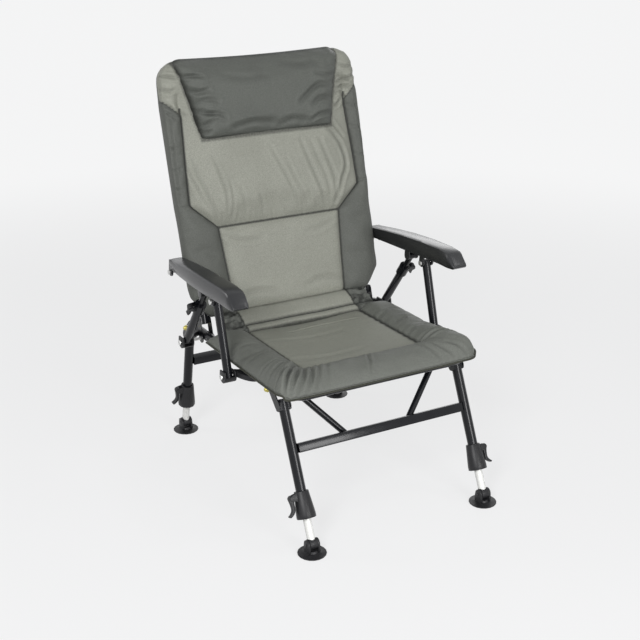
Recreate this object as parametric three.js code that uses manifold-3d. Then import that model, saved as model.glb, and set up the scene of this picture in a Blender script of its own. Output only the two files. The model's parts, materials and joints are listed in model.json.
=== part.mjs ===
// A carp fishing chair: a padded folding seat on two fold-away leg frames with
// telescopic legs and swivelling mud feet, a reclining backrest, and arms that
// stay level because each side is a parallelogram of rail, post, arm and backrest.
//
// Millimetres, +Z up. The chair faces -Y, left and right are as seen from the
// front, and the origin lies on the floor in the middle of the four feet.

import * as THREE from 'three';
import { mergeVertices } from 'three/addons/utils/BufferGeometryUtils.js';
import Module from 'manifold-3d';

const wasm = await Module();
wasm.setup();

// Tubes
const tubeDiameter = 25;
const tubeWall = 1.5;
const backTubeDiameter = 22;
const postDiameter = 22;
const postEndLength = 7;
const strutDiameter = 22;
const strutInnerDiameter = 16;
const legInnerDiameter = 19.5;
const barSize = 22;
const braceDiameter = 16;

// Clearances between pieces
const fitGap = 0.3;
const sideGap = 0.6;
const overrun = 5;

// Seat frame, its tubes lying in one plane that falls a little to the rear
const sideSpacing = 492;
const seatFrontHeight = 360;
const seatFrontReach = 275;
const seatDeclineAngle = 1.4;
const railLength = 575;
const cornerRadius = 45;
const capLength = 7;
const capPlugLength = 9;
const domeShares = [[1, 0], [0.92, 0.55], [0.6, 0.9], [0, 1]];

// Pivots along a rail, measured from the front tube, and their drop below its centre
const frontPivotReach = 77;
const hingeReach = 478;
const rearPivotReach = 559;
const hingeDrop = 5;
const postReach = 222;
const postDrop = 10.6;

// Parallelogram of the arms
const linkOffset = 57;
const linkLength = 185.4;
const backLeanAngle = 16;

// Bolts and fork plates
const boltDiameter = 8;
const boltHeadDiameter = 14;
const boltHeadHeight = 5;
const plateThickness = 2.5;
const forkRadius = 12;
const forkBlockLength = 20;
const forkBlockDrop = 6;
const blockShare = 0.8;

// Legs
const footReach = 373;
const ankleHeight = 26;
const frontLeanAngle = 24.9;
const rearLeanAngle = 11.5;
const frontBarHeight = 230;
const rearBarHeight = 228;
const braceBarReach = 82;
const braceKneeReach = 192;
const braceKneeDrop = 12;
const braceKneeLength = 9;
const braceTopDrop = 15;

// Telescopic legs, measured up the leg from the ankle
const legClampStart = 62;
const legClampLength = 64;
const legTubeStart = 72;
const legInnerTop = 165;
const legClampTopRadius = 17.5;
const legClampBottomRadius = 23.5;

// Mud feet
const footDiameter = 70;
const footRimHeight = 3.2;
const footRimBevel = 1.5;
const footHubDiameter = 30;
const footHubHeight = 10.5;
const footDishRise = 2.5;
const footEarRadius = 12;
const footEarThickness = 5;
const footPinDiameter = 6;
const legInnerEnd = 9;

// Cam clamps
const clampWall = 3.2;
const clampEarThickness = 3;
const clampEarRadius = 6;
const clampPinDiameter = 5;
const clampPinDrop = 12;
const clampSlit = 2;
const clampSkirtShare = 0.15;
const clampSlitShare = 0.45;
const leverHeadRadius = 7.5;
const leverHeadGap = 4;
const leverWidth = 11;
const legLeverLength = 43;
const leverThickness = 6.5;
const legLeverFlare = 15;
const leverBendShares = [0.55, 0.76, 0.84];

// Struts behind the posts, measured from the lower pivot
const strutTubeStart = 7;
const strutTubeLength = 150;
const strutClampStart = 142;
const strutClampLength = 32;
const strutClampRadius = 15;
const strutPinDrop = 9;
const strutInnerLength = 168;
const strutLeverLength = 27;
const strutLeverFlare = 5;
const strutEyeRadius = 10;

// Cast brackets on the rails, their seats measured from the front tube
const cupRadius = 16.2;
const cupWall = 4;
const cupFloor = 2.6;
const strutSlotDrop = 10.5;
const bracketHeight = 13;
const neckRise = 4;
const flankShare = 0.6;
const cupTopShare = 0.85;
const postSeatStart = 158;
const postSeatEnd = 214;
const strutSeatStart = 505;
const strutSeatEnd = 536;
const bracketWaist = 12;

// Backrest frame, measured up the backrest from its hinge
const backFrameLength = 700;
const backCornerRadius = 60;
const backForkLength = 36;
const backBarDistance = 330;
const backBarDiameter = 18;
const studSpacerDiameter = 13;

// Armrests
const armRearOverhang = 12.5;
const armFrontOverhang = 147;
const armRearHalfWidth = 21;
const armFrontHalfWidth = 25;
const armToeOut = 5;
const armRearThickness = 26;
const armFrontThickness = 41;
const armClearance = 8;
const armRise = 14.4;
const armCrown = 5;
const armBulge = 4;
const armNoseDrop = 28;
const armWall = 3;
const armRibThickness = 2.5;
const armRibInset = 5;
const armLevelShare = 0.83;
const armTailShares = [[1, 0.3, 0.62], [0.75, 0.1, 0.86], [0.3, 0, 1]];
const armLevelShares = [0.18, 0.4, 0.62, armLevelShare];
const armNoseShares = [[0.915, 0.1, 1, 0], [0.935, 0.24, 0.99, 0], [0.985, 0.95, 0.88, 0.04], [1, 1.16, 0.76, 0.2]];

// Half of the section of an arm: shares of its half width and of its height
const armHalfShares = [[0.88, 0], [1, 0.4], [0.97, 0.76], [0.84, 0.95], [0.5, 1]];
const ribShares = [0.1, 0.3, 0.85];
const lugRadius = 11;
const lugThickness = 3.9;
const lugTopShare = 0.55;

// Seat cushion
const padGap = 0.4;
const padPostGap = 9;
const seatFrontOverhang = 24;
const seatCushionLength = 425;
const seatCushionThickness = 14;
const seatBolsterWidth = 100;
const seatBolsterRise = 13;
const seatCrown = 3;
const seatCornerDraw = 16;
const seatSag = 6;
const seatHemThickness = 4;

// Back cushion and headrest
const backCushionStart = 62;
const backCushionEnd = 716;
const backCushionThickness = 14;
const backSideOverhang = 36;
const padArmGap = 2.5;
const backArmReliefLength = 50;
const backLowDraw = 42;
const backLowDrawLength = 40;
const backStripWidth = 72;
const backCrown = 8;
const backTopDraw = 14;
const backTopPower = 8;
const backSeamDistance = 280;
const seamDepth = 6;
const seamWidth = 22;
const headrestHeight = 205;
const headrestTopHalfWidth = 243;
const headrestBottomHalfWidth = 188;
const headrestThickness = 36;
const headrestRise = 16;

// Counts of facets
const frameSides = 12;
const tubeSides = 12;
const boltSides = 8;
const footSides = 18;
const bendSteps = 4;
const cushionColumns = 14;
const cushionRows = 12;
const headrestColumns = 12;
const headrestRows = 6;

const radiansOf = THREE.MathUtils.degToRad;
const tubeRadius = tubeDiameter / 2;
const sideReach = sideSpacing / 2;
const linkReach = sideReach + linkOffset;
const seatHalfWidth = linkReach - postDiameter / 2 - padPostGap;
const backHalfWidth = sideReach + backSideOverhang;
const armSideReach = linkReach - armToeOut - armRearHalfWidth;
const forkGap = tubeRadius + sideGap;
const forkReach = forkGap + plateThickness;
const boltReach = forkReach + fitGap;
const sides = { left: -1, right: 1 };

const finishes = {
  blackTube: { color: 0x1b1b1d, roughness: 0.35, metalness: 0.6 },
  blackPlastic: { color: 0x151516, roughness: 0.55, metalness: 0 },
  armPlastic: { color: 0x2b2b2d, roughness: 0.42, metalness: 0 },
  whiteTube: { color: 0xd9dbd6, roughness: 0.3, metalness: 0.3 },
  zinc: { color: 0xb9bcbd, roughness: 0.3, metalness: 0.9 },
  khaki: { color: 0x8f9286, roughness: 0.9, metalness: 0 },
  darkCloth: { color: 0x5d625b, roughness: 0.92, metalness: 0 },
};

// Joining and cutting closed meshes

function toSolid(geometry) {
  const bare = geometry.clone();
  bare.deleteAttribute('normal');
  bare.deleteAttribute('uv');
  const merged = mergeVertices(bare);
  return new wasm.Manifold(new wasm.Mesh({
    numProp: 3,
    vertProperties: new Float32Array(merged.attributes.position.array),
    triVerts: new Uint32Array(merged.index.array),
  }));
}

function toGeometry(solid) {
  const { numProp, vertProperties, triVerts } = solid.getMesh();
  const positions = new Float32Array((vertProperties.length / numProp) * 3);
  for (let i = 0; i < positions.length / 3; i += 1) {
    positions.set(vertProperties.subarray(i * numProp, i * numProp + 3), i * 3);
  }
  const geometry = new THREE.BufferGeometry();
  geometry.setAttribute('position', new THREE.BufferAttribute(positions, 3));
  geometry.setIndex(new THREE.BufferAttribute(new Uint32Array(triVerts), 1));
  geometry.computeVertexNormals();
  return geometry;
}

function join(first, ...others) {
  return toGeometry(others.reduce((solid, other) => solid.add(toSolid(other)), toSolid(first)));
}

function cut(body, ...tools) {
  return toGeometry(tools.reduce((solid, tool) => solid.subtract(toSolid(tool)), toSolid(body)));
}

function common(first, second) {
  return toGeometry(toSolid(first).intersect(toSolid(second)));
}

// Radius of a faceted bore that clears a round of the given radius
function boreRadius(radius, count, gap = fitGap) {
  return (radius + gap) / Math.cos(Math.PI / count);
}

// Shapes used all over the frame

function ringShape(outerRadius, wall) {
  const shape = new THREE.Shape().absarc(0, 0, outerRadius, 0, 2 * Math.PI);
  shape.holes.push(new THREE.Path().absarc(0, 0, outerRadius - wall, 0, 2 * Math.PI, true));
  return shape;
}

function roundTube(radius, start, end, count = tubeSides) {
  const options = { depth: end - start, bevelEnabled: false, curveSegments: count / 2 };
  return new THREE.ExtrudeGeometry(ringShape(radius, tubeWall), options).translate(0, 0, start);
}

// Round bar along X
function rod(radius, fromX, toX, count = boltSides) {
  const geometry = new THREE.CylinderGeometry(radius, radius, Math.abs(toX - fromX), count);
  return geometry.rotateZ(Math.PI / 2).translate((fromX + toX) / 2, 0, 0);
}

function boxAt(minX, maxX, minY, maxY, minZ, maxZ) {
  const geometry = new THREE.BoxGeometry(maxX - minX, maxY - minY, maxZ - minZ);
  return geometry.translate((minX + maxX) / 2, (minY + maxY) / 2, (minZ + maxZ) / 2);
}

// Outline round two circles, as a link plate has
function linkShape(first, firstRadius, second, secondRadius) {
  const along = second.clone().sub(first);
  const heading = Math.atan2(along.y, along.x);
  const spread = Math.acos((firstRadius - secondRadius) / along.length());
  const shape = new THREE.Shape();
  shape.absarc(second.x, second.y, secondRadius, heading - spread, heading + spread);
  shape.absarc(first.x, first.y, firstRadius, heading + spread, heading - spread + 2 * Math.PI);
  return shape;
}

// Plate whose outline is drawn in Y and Z, standing from one X to another
function sidePlate(shape, fromX, toX, curveSegments = 4) {
  const options = { depth: Math.abs(toX - fromX), bevelEnabled: false, curveSegments };
  const axes = new THREE.Matrix4().makeBasis(
    new THREE.Vector3(0, 1, 0), new THREE.Vector3(0, 0, 1), new THREE.Vector3(1, 0, 0));
  const geometry = new THREE.ExtrudeGeometry(shape, options).applyMatrix4(axes);
  return geometry.translate(Math.min(fromX, toX), 0, 0);
}

// Plate whose outline is drawn in X and Z, standing from one Y to another
function crossPlate(shape, fromY, toY, curveSegments = 5) {
  const options = { depth: toY - fromY, bevelEnabled: false, curveSegments };
  const geometry = new THREE.ExtrudeGeometry(shape, options).rotateX(Math.PI / 2);
  return geometry.translate(0, toY, 0);
}

// Bolt across the frame, its head against outerX and its nut against innerX
function boltGeometry(innerX, outerX) {
  const away = Math.sign(outerX - innerX);
  const half = (away * boltHeadHeight) / 2;
  const shank = rod(boltDiameter / 2, innerX - half, outerX + half);
  const head = rod(boltHeadDiameter / 2, outerX, outerX + 2 * half);
  const nut = rod(boltHeadDiameter / 2, innerX - 2 * half, innerX, 6);
  return join(shank, head, nut);
}

function boltBore(fromX, toX, y = 0, z = 0) {
  return rod(boreRadius(boltDiameter / 2, boltSides), fromX, toX).translate(0, y, z);
}

// Closed skin over rings of equal point count, each counter-clockwise about the way on
function loft(rings) {
  const count = rings[0].length;
  const positions = rings.flat().flatMap((point) => point.toArray());
  const indices = [];
  for (let i = 0; i < rings.length - 1; i += 1) {
    for (let j = 0; j < count; j += 1) {
      const a = i * count + j;
      const b = i * count + ((j + 1) % count);
      indices.push(a, b, b + count, a, b + count, a + count);
    }
  }
  const last = (rings.length - 1) * count;
  for (let j = 1; j < count - 1; j += 1) {
    indices.push(0, j + 1, j, last, last + j, last + j + 1);
  }
  const geometry = new THREE.BufferGeometry();
  geometry.setAttribute('position', new THREE.Float32BufferAttribute(positions, 3));
  geometry.setIndex(indices);
  geometry.computeVertexNormals();
  return geometry;
}

// Points of a path from one end to the other with its right-angled corner rounded
function elbowPoints(from, corner, to, bendRadius) {
  const back = from.clone().sub(corner).normalize();
  const on = to.clone().sub(corner).normalize();
  const centre = corner.clone().addScaledVector(back, bendRadius).addScaledVector(on, bendRadius);
  const points = [from];
  for (let i = 0; i <= bendSteps; i += 1) {
    const angle = (Math.PI / 2) * (i / bendSteps);
    const point = centre.clone().addScaledVector(on, -bendRadius * Math.cos(angle));
    points.push(point.addScaledVector(back, -bendRadius * Math.sin(angle)));
  }
  points.push(to);
  return points;
}

// Open-ended tube along points that lie in a plane square to up
function bentTube(points, up, radius) {
  const ringsOf = (ringRadius, extra) => points.map((point, i) => {
    const before = points[Math.max(i - 1, 0)];
    const after = points[Math.min(i + 1, points.length - 1)];
    const into = point.clone().sub(before).normalize();
    const out = after.clone().sub(point).normalize();
    const heading = into.clone().add(out).normalize();
    const across = new THREE.Vector3().crossVectors(up, heading);
    const mitre = i > 0 && i < points.length - 1 ? into.dot(heading) : 1;
    const shift = i === 0 ? -extra : (i === points.length - 1 ? extra : 0);
    return Array.from({ length: frameSides }, (_, j) => {
      const angle = (2 * Math.PI * (j + 0.5)) / frameSides;
      const corner = point.clone().addScaledVector(across, (ringRadius * Math.cos(angle)) / mitre);
      return corner.addScaledVector(up, ringRadius * Math.sin(angle)).addScaledVector(heading, shift);
    });
  });
  return cut(loft(ringsOf(radius, 0)), loft(ringsOf(radius - tubeWall, overrun)));
}

function piece(name, geometry, finish) {
  const mesh = new THREE.Mesh(geometry, new THREE.MeshStandardMaterial(finishes[finish]));
  mesh.name = name;
  return mesh;
}

function pieceAt(name, geometry, finish, position) {
  const mesh = piece(name, geometry, finish);
  mesh.position.copy(position);
  return mesh;
}

// Frames of the assembly

const chair = new THREE.Group();

const seatFrame = new THREE.Group();
seatFrame.position.set(0, -seatFrontReach, seatFrontHeight);
seatFrame.rotation.x = -radiansOf(seatDeclineAngle);
seatFrame.updateMatrixWorld();
chair.add(seatFrame);

const onSeat = (y, z) => seatFrame.localToWorld(new THREE.Vector3(0, y, z));
const frontPivot = onSeat(frontPivotReach, 0);
const rearPivot = onSeat(rearPivotReach, 0);
const hinge = onSeat(hingeReach, -hingeDrop);
const postFoot = onSeat(postReach, -postDrop);
const linkStep = new THREE.Vector3(0, Math.sin(radiansOf(backLeanAngle)), Math.cos(radiansOf(backLeanAngle)));
linkStep.multiplyScalar(linkLength);
const armFrontPivot = postFoot.clone().add(linkStep);
const armRearPivot = hinge.clone().add(linkStep);
const armStrutPivot = armRearPivot.clone().sub(new THREE.Vector3(0, linkLength, 0));
const atSide = (point, x) => new THREE.Vector3(x, point.y, point.z);

// Seat frame: one tube bent round the front, in two halves that meet in the middle

function addSeatTubes(sideName, side) {
  const rear = new THREE.Vector3(side * sideReach, railLength, 0);
  const corner = new THREE.Vector3(side * sideReach, 0, 0);
  const middle = new THREE.Vector3((side * fitGap) / 2, 0, 0);
  const points = elbowPoints(rear, corner, middle, cornerRadius);
  const reach = tubeRadius + overrun;
  const bores = [[frontPivotReach, 0], [hingeReach, -hingeDrop], [rearPivotReach, 0]].map(
    ([y, z]) => boltBore(side * (sideReach - reach), side * (sideReach + reach), y, z));
  const tube = cut(bentTube(points, new THREE.Vector3(0, 0, 1), tubeRadius), ...bores);
  seatFrame.add(piece(`seat_rail_${sideName}`, tube, 'blackTube'));

  const plugRadius = tubeRadius - tubeWall - sideGap;
  const dome = domeShares.map(([radiusShare, lengthShare]) => (
    new THREE.Vector2(tubeRadius * radiusShare, fitGap + capLength * lengthShare)));
  const profile = [
    new THREE.Vector2(0, -capPlugLength), new THREE.Vector2(plugRadius, -capPlugLength),
    new THREE.Vector2(plugRadius, fitGap), ...dome,
  ];
  const cap = new THREE.LatheGeometry(profile, frameSides);
  seatFrame.add(pieceAt(`rail_end_cap_${sideName}`, cap, 'blackPlastic', rear));
}

// Cast bracket: a seat on the rail's flank, a curved neck and a forked cup for a link
function bracketGeometry(side, seatStart, seatEnd, cupY, cupZ, slotDrop) {
  const flank = sideReach + tubeRadius * flankShare;
  const inner = linkReach - cupRadius;
  const plan = new THREE.Shape();
  const neck = (seatStart + seatEnd) / 2;
  const neckX = (flank + inner) / 2 + bracketWaist / 3;
  plan.moveTo(flank, seatStart);
  plan.quadraticCurveTo(neckX, seatStart, inner, cupY - bracketWaist);
  plan.lineTo(linkReach, cupY - bracketWaist);
  plan.lineTo(linkReach, cupY + bracketWaist);
  plan.lineTo(inner, cupY + bracketWaist);
  plan.quadraticCurveTo(neckX, (cupY + bracketWaist + seatEnd) / 2, flank, seatEnd);
  plan.lineTo(flank, neck);
  const depth = bracketHeight;
  const options = { depth, bevelEnabled: false, curveSegments: 6 };
  const arm = new THREE.ExtrudeGeometry(plan, options).translate(0, 0, cupZ + neckRise - depth / 2);
  const cupShape = new THREE.Shape();
  cupShape.absarc(cupY, cupZ, cupRadius, Math.PI, 2 * Math.PI);
  cupShape.lineTo(cupY + cupRadius * cupTopShare, cupZ + cupRadius * cupTopShare);
  cupShape.lineTo(cupY - cupRadius * cupTopShare, cupZ + cupRadius * cupTopShare);
  const cheekInner = postDiameter / 2 + sideGap;
  const cheekOuter = cheekInner + cupWall;
  const cup = sidePlate(cupShape, linkReach - cheekOuter, linkReach + cheekOuter, 6);
  const slotShape = new THREE.Shape();
  const slotRadius = cupRadius - cupFloor;
  slotShape.absarc(cupY, cupZ, slotRadius, Math.PI, 2 * Math.PI);
  slotShape.lineTo(cupY + cupRadius + overrun, cupZ);
  slotShape.lineTo(cupY + cupRadius + overrun, cupZ + cupRadius + overrun);
  slotShape.lineTo(cupY - cupRadius - overrun, cupZ + cupRadius + overrun);
  slotShape.lineTo(cupY - cupRadius - overrun, cupZ);
  const slot = sidePlate(slotShape, linkReach - cheekInner, linkReach + cheekInner, 6);
  const slotFront = boxAt(linkReach - cheekInner, linkReach + cheekInner,
    cupY - cupRadius - overrun, cupY, cupZ - slotDrop, cupZ + slotDrop);
  const railRound = new THREE.CylinderGeometry(
    boreRadius(tubeRadius, tubeSides), boreRadius(tubeRadius, tubeSides), 2 * railLength, tubeSides);
  const bore = boltBore(sideReach, linkReach + cheekOuter + overrun, cupY, cupZ);
  const nutReach = boltHeadDiameter / 2 + sideGap;
  const nutWindow = boxAt(linkReach - cheekOuter - boltHeadHeight - 2 * sideGap, linkReach - cheekOuter,
    cupY - nutReach, cupY + nutReach, cupZ - bracketHeight, cupZ + bracketHeight);
  const body = cut(join(arm, cup), slot, slotFront, railRound.translate(sideReach, 0, 0), bore, nutWindow);
  return side > 0 ? body : mirrored(body);
}

// The same closed mesh on the other side of the chair
function mirrored(geometry) {
  const copy = geometry.clone().scale(-1, 1, 1);
  const index = copy.index.array;
  for (let i = 0; i < index.length; i += 3) {
    [index[i], index[i + 1]] = [index[i + 1], index[i]];
  }
  copy.computeVertexNormals();
  return copy;
}

function addBrackets(sideName, side) {
  const post = bracketGeometry(side, postSeatStart, postSeatEnd, postReach, -postDrop, fitGap);
  const strut = bracketGeometry(side, strutSeatStart, strutSeatEnd, hingeReach, -hingeDrop, strutSlotDrop);
  seatFrame.add(piece(`post_bracket_${sideName}`, post, 'blackPlastic'));
  seatFrame.add(piece(`strut_bracket_${sideName}`, strut, 'blackPlastic'));
}

function addSeatBolts(sideName, side) {
  const inner = side * (sideReach - boltReach);
  const outer = side * (sideReach + boltReach);
  const cheek = postDiameter / 2 + sideGap + cupWall + fitGap;
  const seatBolts = {
    front_pivot_bolt: [inner, outer, frontPivot],
    rear_pivot_bolt: [inner, outer, rearPivot],
    hinge_bolt: [inner, side * (linkReach + cheek), hinge],
    post_bolt: [side * (linkReach - cheek), side * (linkReach + cheek), postFoot],
  };
  for (const [name, [innerX, outerX, place]] of Object.entries(seatBolts)) {
    chair.add(pieceAt(`${name}_${sideName}`, boltGeometry(innerX, outerX), 'zinc', place));
  }
}

// Fork that straddles a rail: two link plates and the block that joins them to the tube
function forkGeometry(pivotY, pivotZ, blockStart, blockEnd, gripRadius) {
  const pivot = new THREE.Vector2(pivotY, pivotZ);
  const grip = new THREE.Vector2(0, (blockStart + blockEnd) / 2);
  const shape = linkShape(pivot, forkRadius, grip, gripRadius);
  const plates = [-1, 1].map((edge) => sidePlate(shape, edge * forkGap, edge * forkReach));
  const block = boxAt(-forkReach, forkReach, -gripRadius * blockShare, gripRadius * blockShare, blockStart, blockEnd);
  const bores = [-1, 1].map((edge) => (
    boltBore(edge * (forkGap - overrun), edge * (forkReach + overrun), pivotY, pivotZ)));
  return { plates, block, bores };
}

// Leg frames

const legEnds = {
  front: { facing: -1, lean: frontLeanAngle, barHeight: frontBarHeight, pivot: frontPivot },
  rear: { facing: 1, lean: rearLeanAngle, barHeight: rearBarHeight, pivot: rearPivot },
};

// Split collar round a telescopic tube, with ears and pin for its cam lever on +X
function camClampGeometry(size) {
  const profile = [
    new THREE.Vector2(size.innerBore, 0), new THREE.Vector2(size.bottomRadius, 0),
    new THREE.Vector2(size.bottomRadius, size.length * clampSkirtShare), new THREE.Vector2(size.topRadius, size.length),
    new THREE.Vector2(size.outerBore, size.length), new THREE.Vector2(size.outerBore, size.seat),
    new THREE.Vector2(size.innerBore, size.seat), new THREE.Vector2(size.innerBore, 0),
  ];
  const collar = new THREE.LatheGeometry(profile, tubeSides);
  collar.rotateX(Math.PI / 2);
  const pivot = new THREE.Vector2(size.pinReach, size.length - size.pinDrop);
  const root = new THREE.Vector2(size.topRadius - clampWall / 2, size.length - size.pinDrop);
  const earShape = linkShape(pivot, clampEarRadius, root, clampEarRadius + clampWall);
  const earInner = leverWidth / 2 + fitGap;
  const ears = [-1, 1].map((edge) => crossPlate(
    earShape, Math.min(edge * earInner, edge * (earInner + clampEarThickness)),
    Math.max(edge * earInner, edge * (earInner + clampEarThickness)), 4));
  const pin = new THREE.CylinderGeometry(
    clampPinDiameter / 2, clampPinDiameter / 2, 2 * (earInner + clampEarThickness), boltSides);
  pin.translate(pivot.x, 0, pivot.y);
  const boreTool = new THREE.CylinderGeometry(
    size.outerBore, size.outerBore, size.length, tubeSides).rotateX(Math.PI / 2);
  boreTool.translate(0, 0, size.seat + size.length / 2);
  const slit = boxAt(0, size.topRadius + overrun, -clampSlit / 2, clampSlit / 2,
    size.length * clampSlitShare, size.length + overrun);
  return join(cut(join(collar, ...ears), boreTool, slit), pin);
}

// Lever with a cam head on the pin, a thin arm down the collar and a flared tip
function leverGeometry(length, flare) {
  const half = leverThickness / 2;
  const shape = new THREE.Shape();
  shape.absarc(0, 0, leverHeadRadius, 0, Math.PI);
  shape.quadraticCurveTo(-half, -leverHeadRadius, -half, -2 * leverHeadRadius);
  shape.lineTo(-half, -length * leverBendShares[0]);
  shape.quadraticCurveTo(-half, -length * leverBendShares[2], flare - half, -length);
  shape.lineTo(flare, -length + half);
  shape.quadraticCurveTo(half, -length * leverBendShares[1], half, -length * leverBendShares[0]);
  shape.quadraticCurveTo(half, -2 * leverHeadRadius, leverHeadRadius, 0);
  const blade = crossPlate(shape, -leverWidth / 2, leverWidth / 2);
  const pinRadius = boreRadius(clampPinDiameter / 2, boltSides);
  const bore = new THREE.CylinderGeometry(pinRadius, pinRadius, leverWidth + overrun, boltSides);
  return cut(blade, bore);
}

const legClampSize = {
  length: legClampLength,
  innerBore: boreRadius(legInnerDiameter / 2, tubeSides),
  outerBore: boreRadius(tubeRadius, tubeSides),
  seat: legTubeStart - legClampStart - fitGap,
  topRadius: legClampTopRadius,
  bottomRadius: legClampBottomRadius,
  pinReach: legClampTopRadius + leverHeadRadius + leverHeadGap,
  pinDrop: clampPinDrop,
};

function footGeometry() {
  const radius = footDiameter / 2;
  const base = -ankleHeight;
  const hub = footHubDiameter / 2;
  const profile = [
    new THREE.Vector2(0, base), new THREE.Vector2(radius - footRimBevel, base),
    new THREE.Vector2(radius, base + footRimBevel), new THREE.Vector2(radius, base + footRimHeight),
    new THREE.Vector2(radius - 2 * footRimBevel, base + footRimHeight),
    new THREE.Vector2(hub, base + footRimHeight + footDishRise),
    new THREE.Vector2(hub - footRimBevel, base + footHubHeight), new THREE.Vector2(0, base + footHubHeight),
  ];
  const disc = new THREE.LatheGeometry(profile, footSides).rotateX(Math.PI / 2);
  const pivot = new THREE.Vector2(0, 0);
  const root = new THREE.Vector2(0, base + footHubHeight);
  const earShape = linkShape(pivot, footEarRadius, root, footEarRadius + footRimBevel);
  const trimmed = boxAt(-radius, radius, -radius, radius, base + footRimHeight, ankleHeight);
  const innerX = legInnerDiameter / 2 + sideGap;
  const ears = [-1, 1].map((edge) => common(
    sidePlate(earShape, edge * innerX, edge * (innerX + footEarThickness)), trimmed));
  const pinReach = innerX + footEarThickness + footRimBevel;
  return join(disc, ...ears, rod(footPinDiameter / 2, -pinReach, pinReach));
}

function addLeg(endName, sideName, side) {
  const end = legEnds[endName];
  const leg = new THREE.Group();
  leg.position.set(side * sideReach, end.facing * footReach, ankleHeight);
  leg.rotation.x = end.facing * radiansOf(end.lean);
  leg.updateMatrixWorld();
  chair.add(leg);

  const sine = Math.sin(radiansOf(end.lean));
  const cosine = Math.cos(radiansOf(end.lean));
  const topY = end.facing * (footReach - Math.tan(radiansOf(end.lean)) * (end.pivot.z - ankleHeight));
  const railZ = end.pivot.z - Math.tan(radiansOf(seatDeclineAngle)) * Math.max(topY - end.pivot.y, 0);
  const topLength = (railZ - tubeRadius / Math.cos(radiansOf(seatDeclineAngle)) - sideGap
    - tubeRadius * sine - ankleHeight) / cosine;
  const pivot = leg.worldToLocal(atSide(end.pivot, side * sideReach));
  const blockEnd = topLength - forkBlockDrop;
  const fork = forkGeometry(pivot.y, pivot.z, blockEnd - forkBlockLength, blockEnd, tubeRadius);
  const tube = roundTube(tubeRadius, legTubeStart, topLength);
  leg.add(piece(`${endName}_leg_${sideName}`,
    cut(join(tube, fork.block, ...fork.plates), ...fork.bores), 'blackTube'));

  const clamp = camClampGeometry(legClampSize);
  const lever = leverGeometry(legLeverLength, legLeverFlare);
  const leverPlace = new THREE.Vector3(
    side * legClampSize.pinReach, 0, legClampStart + legClampLength - clampPinDrop);
  leg.add(pieceAt(`${endName}_clamp_${sideName}`, side > 0 ? clamp : mirrored(clamp),
    'blackPlastic', new THREE.Vector3(0, 0, legClampStart)));
  leg.add(pieceAt(`${endName}_clamp_lever_${sideName}`, side > 0 ? lever : mirrored(lever),
    'blackPlastic', leverPlace));

  const innerTube = roundTube(legInnerDiameter / 2, -legInnerEnd, legInnerTop);
  const pinBore = rod(boreRadius(footPinDiameter / 2, boltSides), -tubeDiameter, tubeDiameter);
  leg.add(piece(`${endName}_leg_inner_${sideName}`, cut(innerTube, pinBore), 'whiteTube'));
  chair.add(pieceAt(`${endName}_foot_${sideName}`, footGeometry(), 'blackPlastic', leg.position));
  return { leg, fork, pivot };
}

function addCrossbar(endName) {
  const end = legEnds[endName];
  const half = barSize / 2;
  const reach = sideReach - tubeRadius - fitGap;
  const outer = boxAt(-reach, reach, -half, half, -half, half);
  const bore = boxAt(-reach - overrun, reach + overrun,
    -half + tubeWall, half - tubeWall, -half + tubeWall, half - tubeWall);
  const bar = piece(`${endName}_crossbar`, cut(outer, bore), 'blackTube');
  const height = end.barHeight - ankleHeight;
  bar.position.set(0, end.facing * (footReach - Math.tan(radiansOf(end.lean)) * height), end.barHeight);
  bar.rotation.x = end.facing * radiansOf(end.lean);
  chair.add(bar);
}

// Brace from behind the front crossbar, turned outward at its top to the fork of a front leg
function addFrontBrace(sideName, side, leg, pivot) {
  const barDistance = (frontBarHeight - ankleHeight) / Math.cos(radiansOf(frontLeanAngle));
  const radius = braceDiameter / 2;
  const inward = -side * (sideReach - braceBarReach);
  const seatY = barSize / 2 + radius + fitGap;
  const low = new THREE.Vector3(inward, seatY, barDistance - barSize / 4);
  const high = new THREE.Vector3(0, seatY, pivot.z - braceTopDrop);
  const knee = new THREE.Vector3(-side * (sideReach - braceKneeReach), seatY, high.z - braceKneeDrop);
  const points = [low, ...[low, high].map((end) => (
    knee.clone().add(end.clone().sub(knee).setLength(braceKneeLength)))), high];
  const tube = bentTube(points, new THREE.Vector3(0, 1, 0), radius);
  const face = -side * (forkReach + fitGap);
  const beyond = boxAt(Math.min(face, side * forkReach), Math.max(face, side * forkReach),
    seatY - 2 * barSize, seatY + 2 * barSize, low.z, high.z + 2 * barSize);
  leg.add(piece(`front_brace_${sideName}`, cut(tube, beyond), 'blackTube'));
}

// Backrest frame, in a group that stands at the hinge and leans with the backrest

const backrest = new THREE.Group();
backrest.position.set(0, hinge.y, hinge.z);
backrest.rotation.x = -radiansOf(backLeanAngle);
chair.add(backrest);

function addBackTube(sideName, side) {
  const radius = backTubeDiameter / 2;
  const low = new THREE.Vector3(side * sideReach, 0, backForkLength);
  const corner = new THREE.Vector3(side * sideReach, 0, backFrameLength);
  const middle = new THREE.Vector3((side * fitGap) / 2, 0, backFrameLength);
  const tube = bentTube(elbowPoints(low, corner, middle, backCornerRadius), new THREE.Vector3(0, 1, 0), radius);
  const fork = forkGeometry(0, 0, backForkLength + 2 * sideGap, backForkLength + forkBlockLength, radius);
  const studBore = boltBore(side * (sideReach - radius - overrun), side * (sideReach + radius + overrun),
    0, linkLength);
  const parts = [fork.block, ...fork.plates].map((geometry) => geometry.translate(side * sideReach, 0, 0));
  const bores = fork.bores.map((geometry) => geometry.translate(side * sideReach, 0, 0));
  backrest.add(piece(`back_tube_${sideName}`, cut(join(tube, ...parts), ...bores, studBore), 'blackTube'));
}

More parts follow.
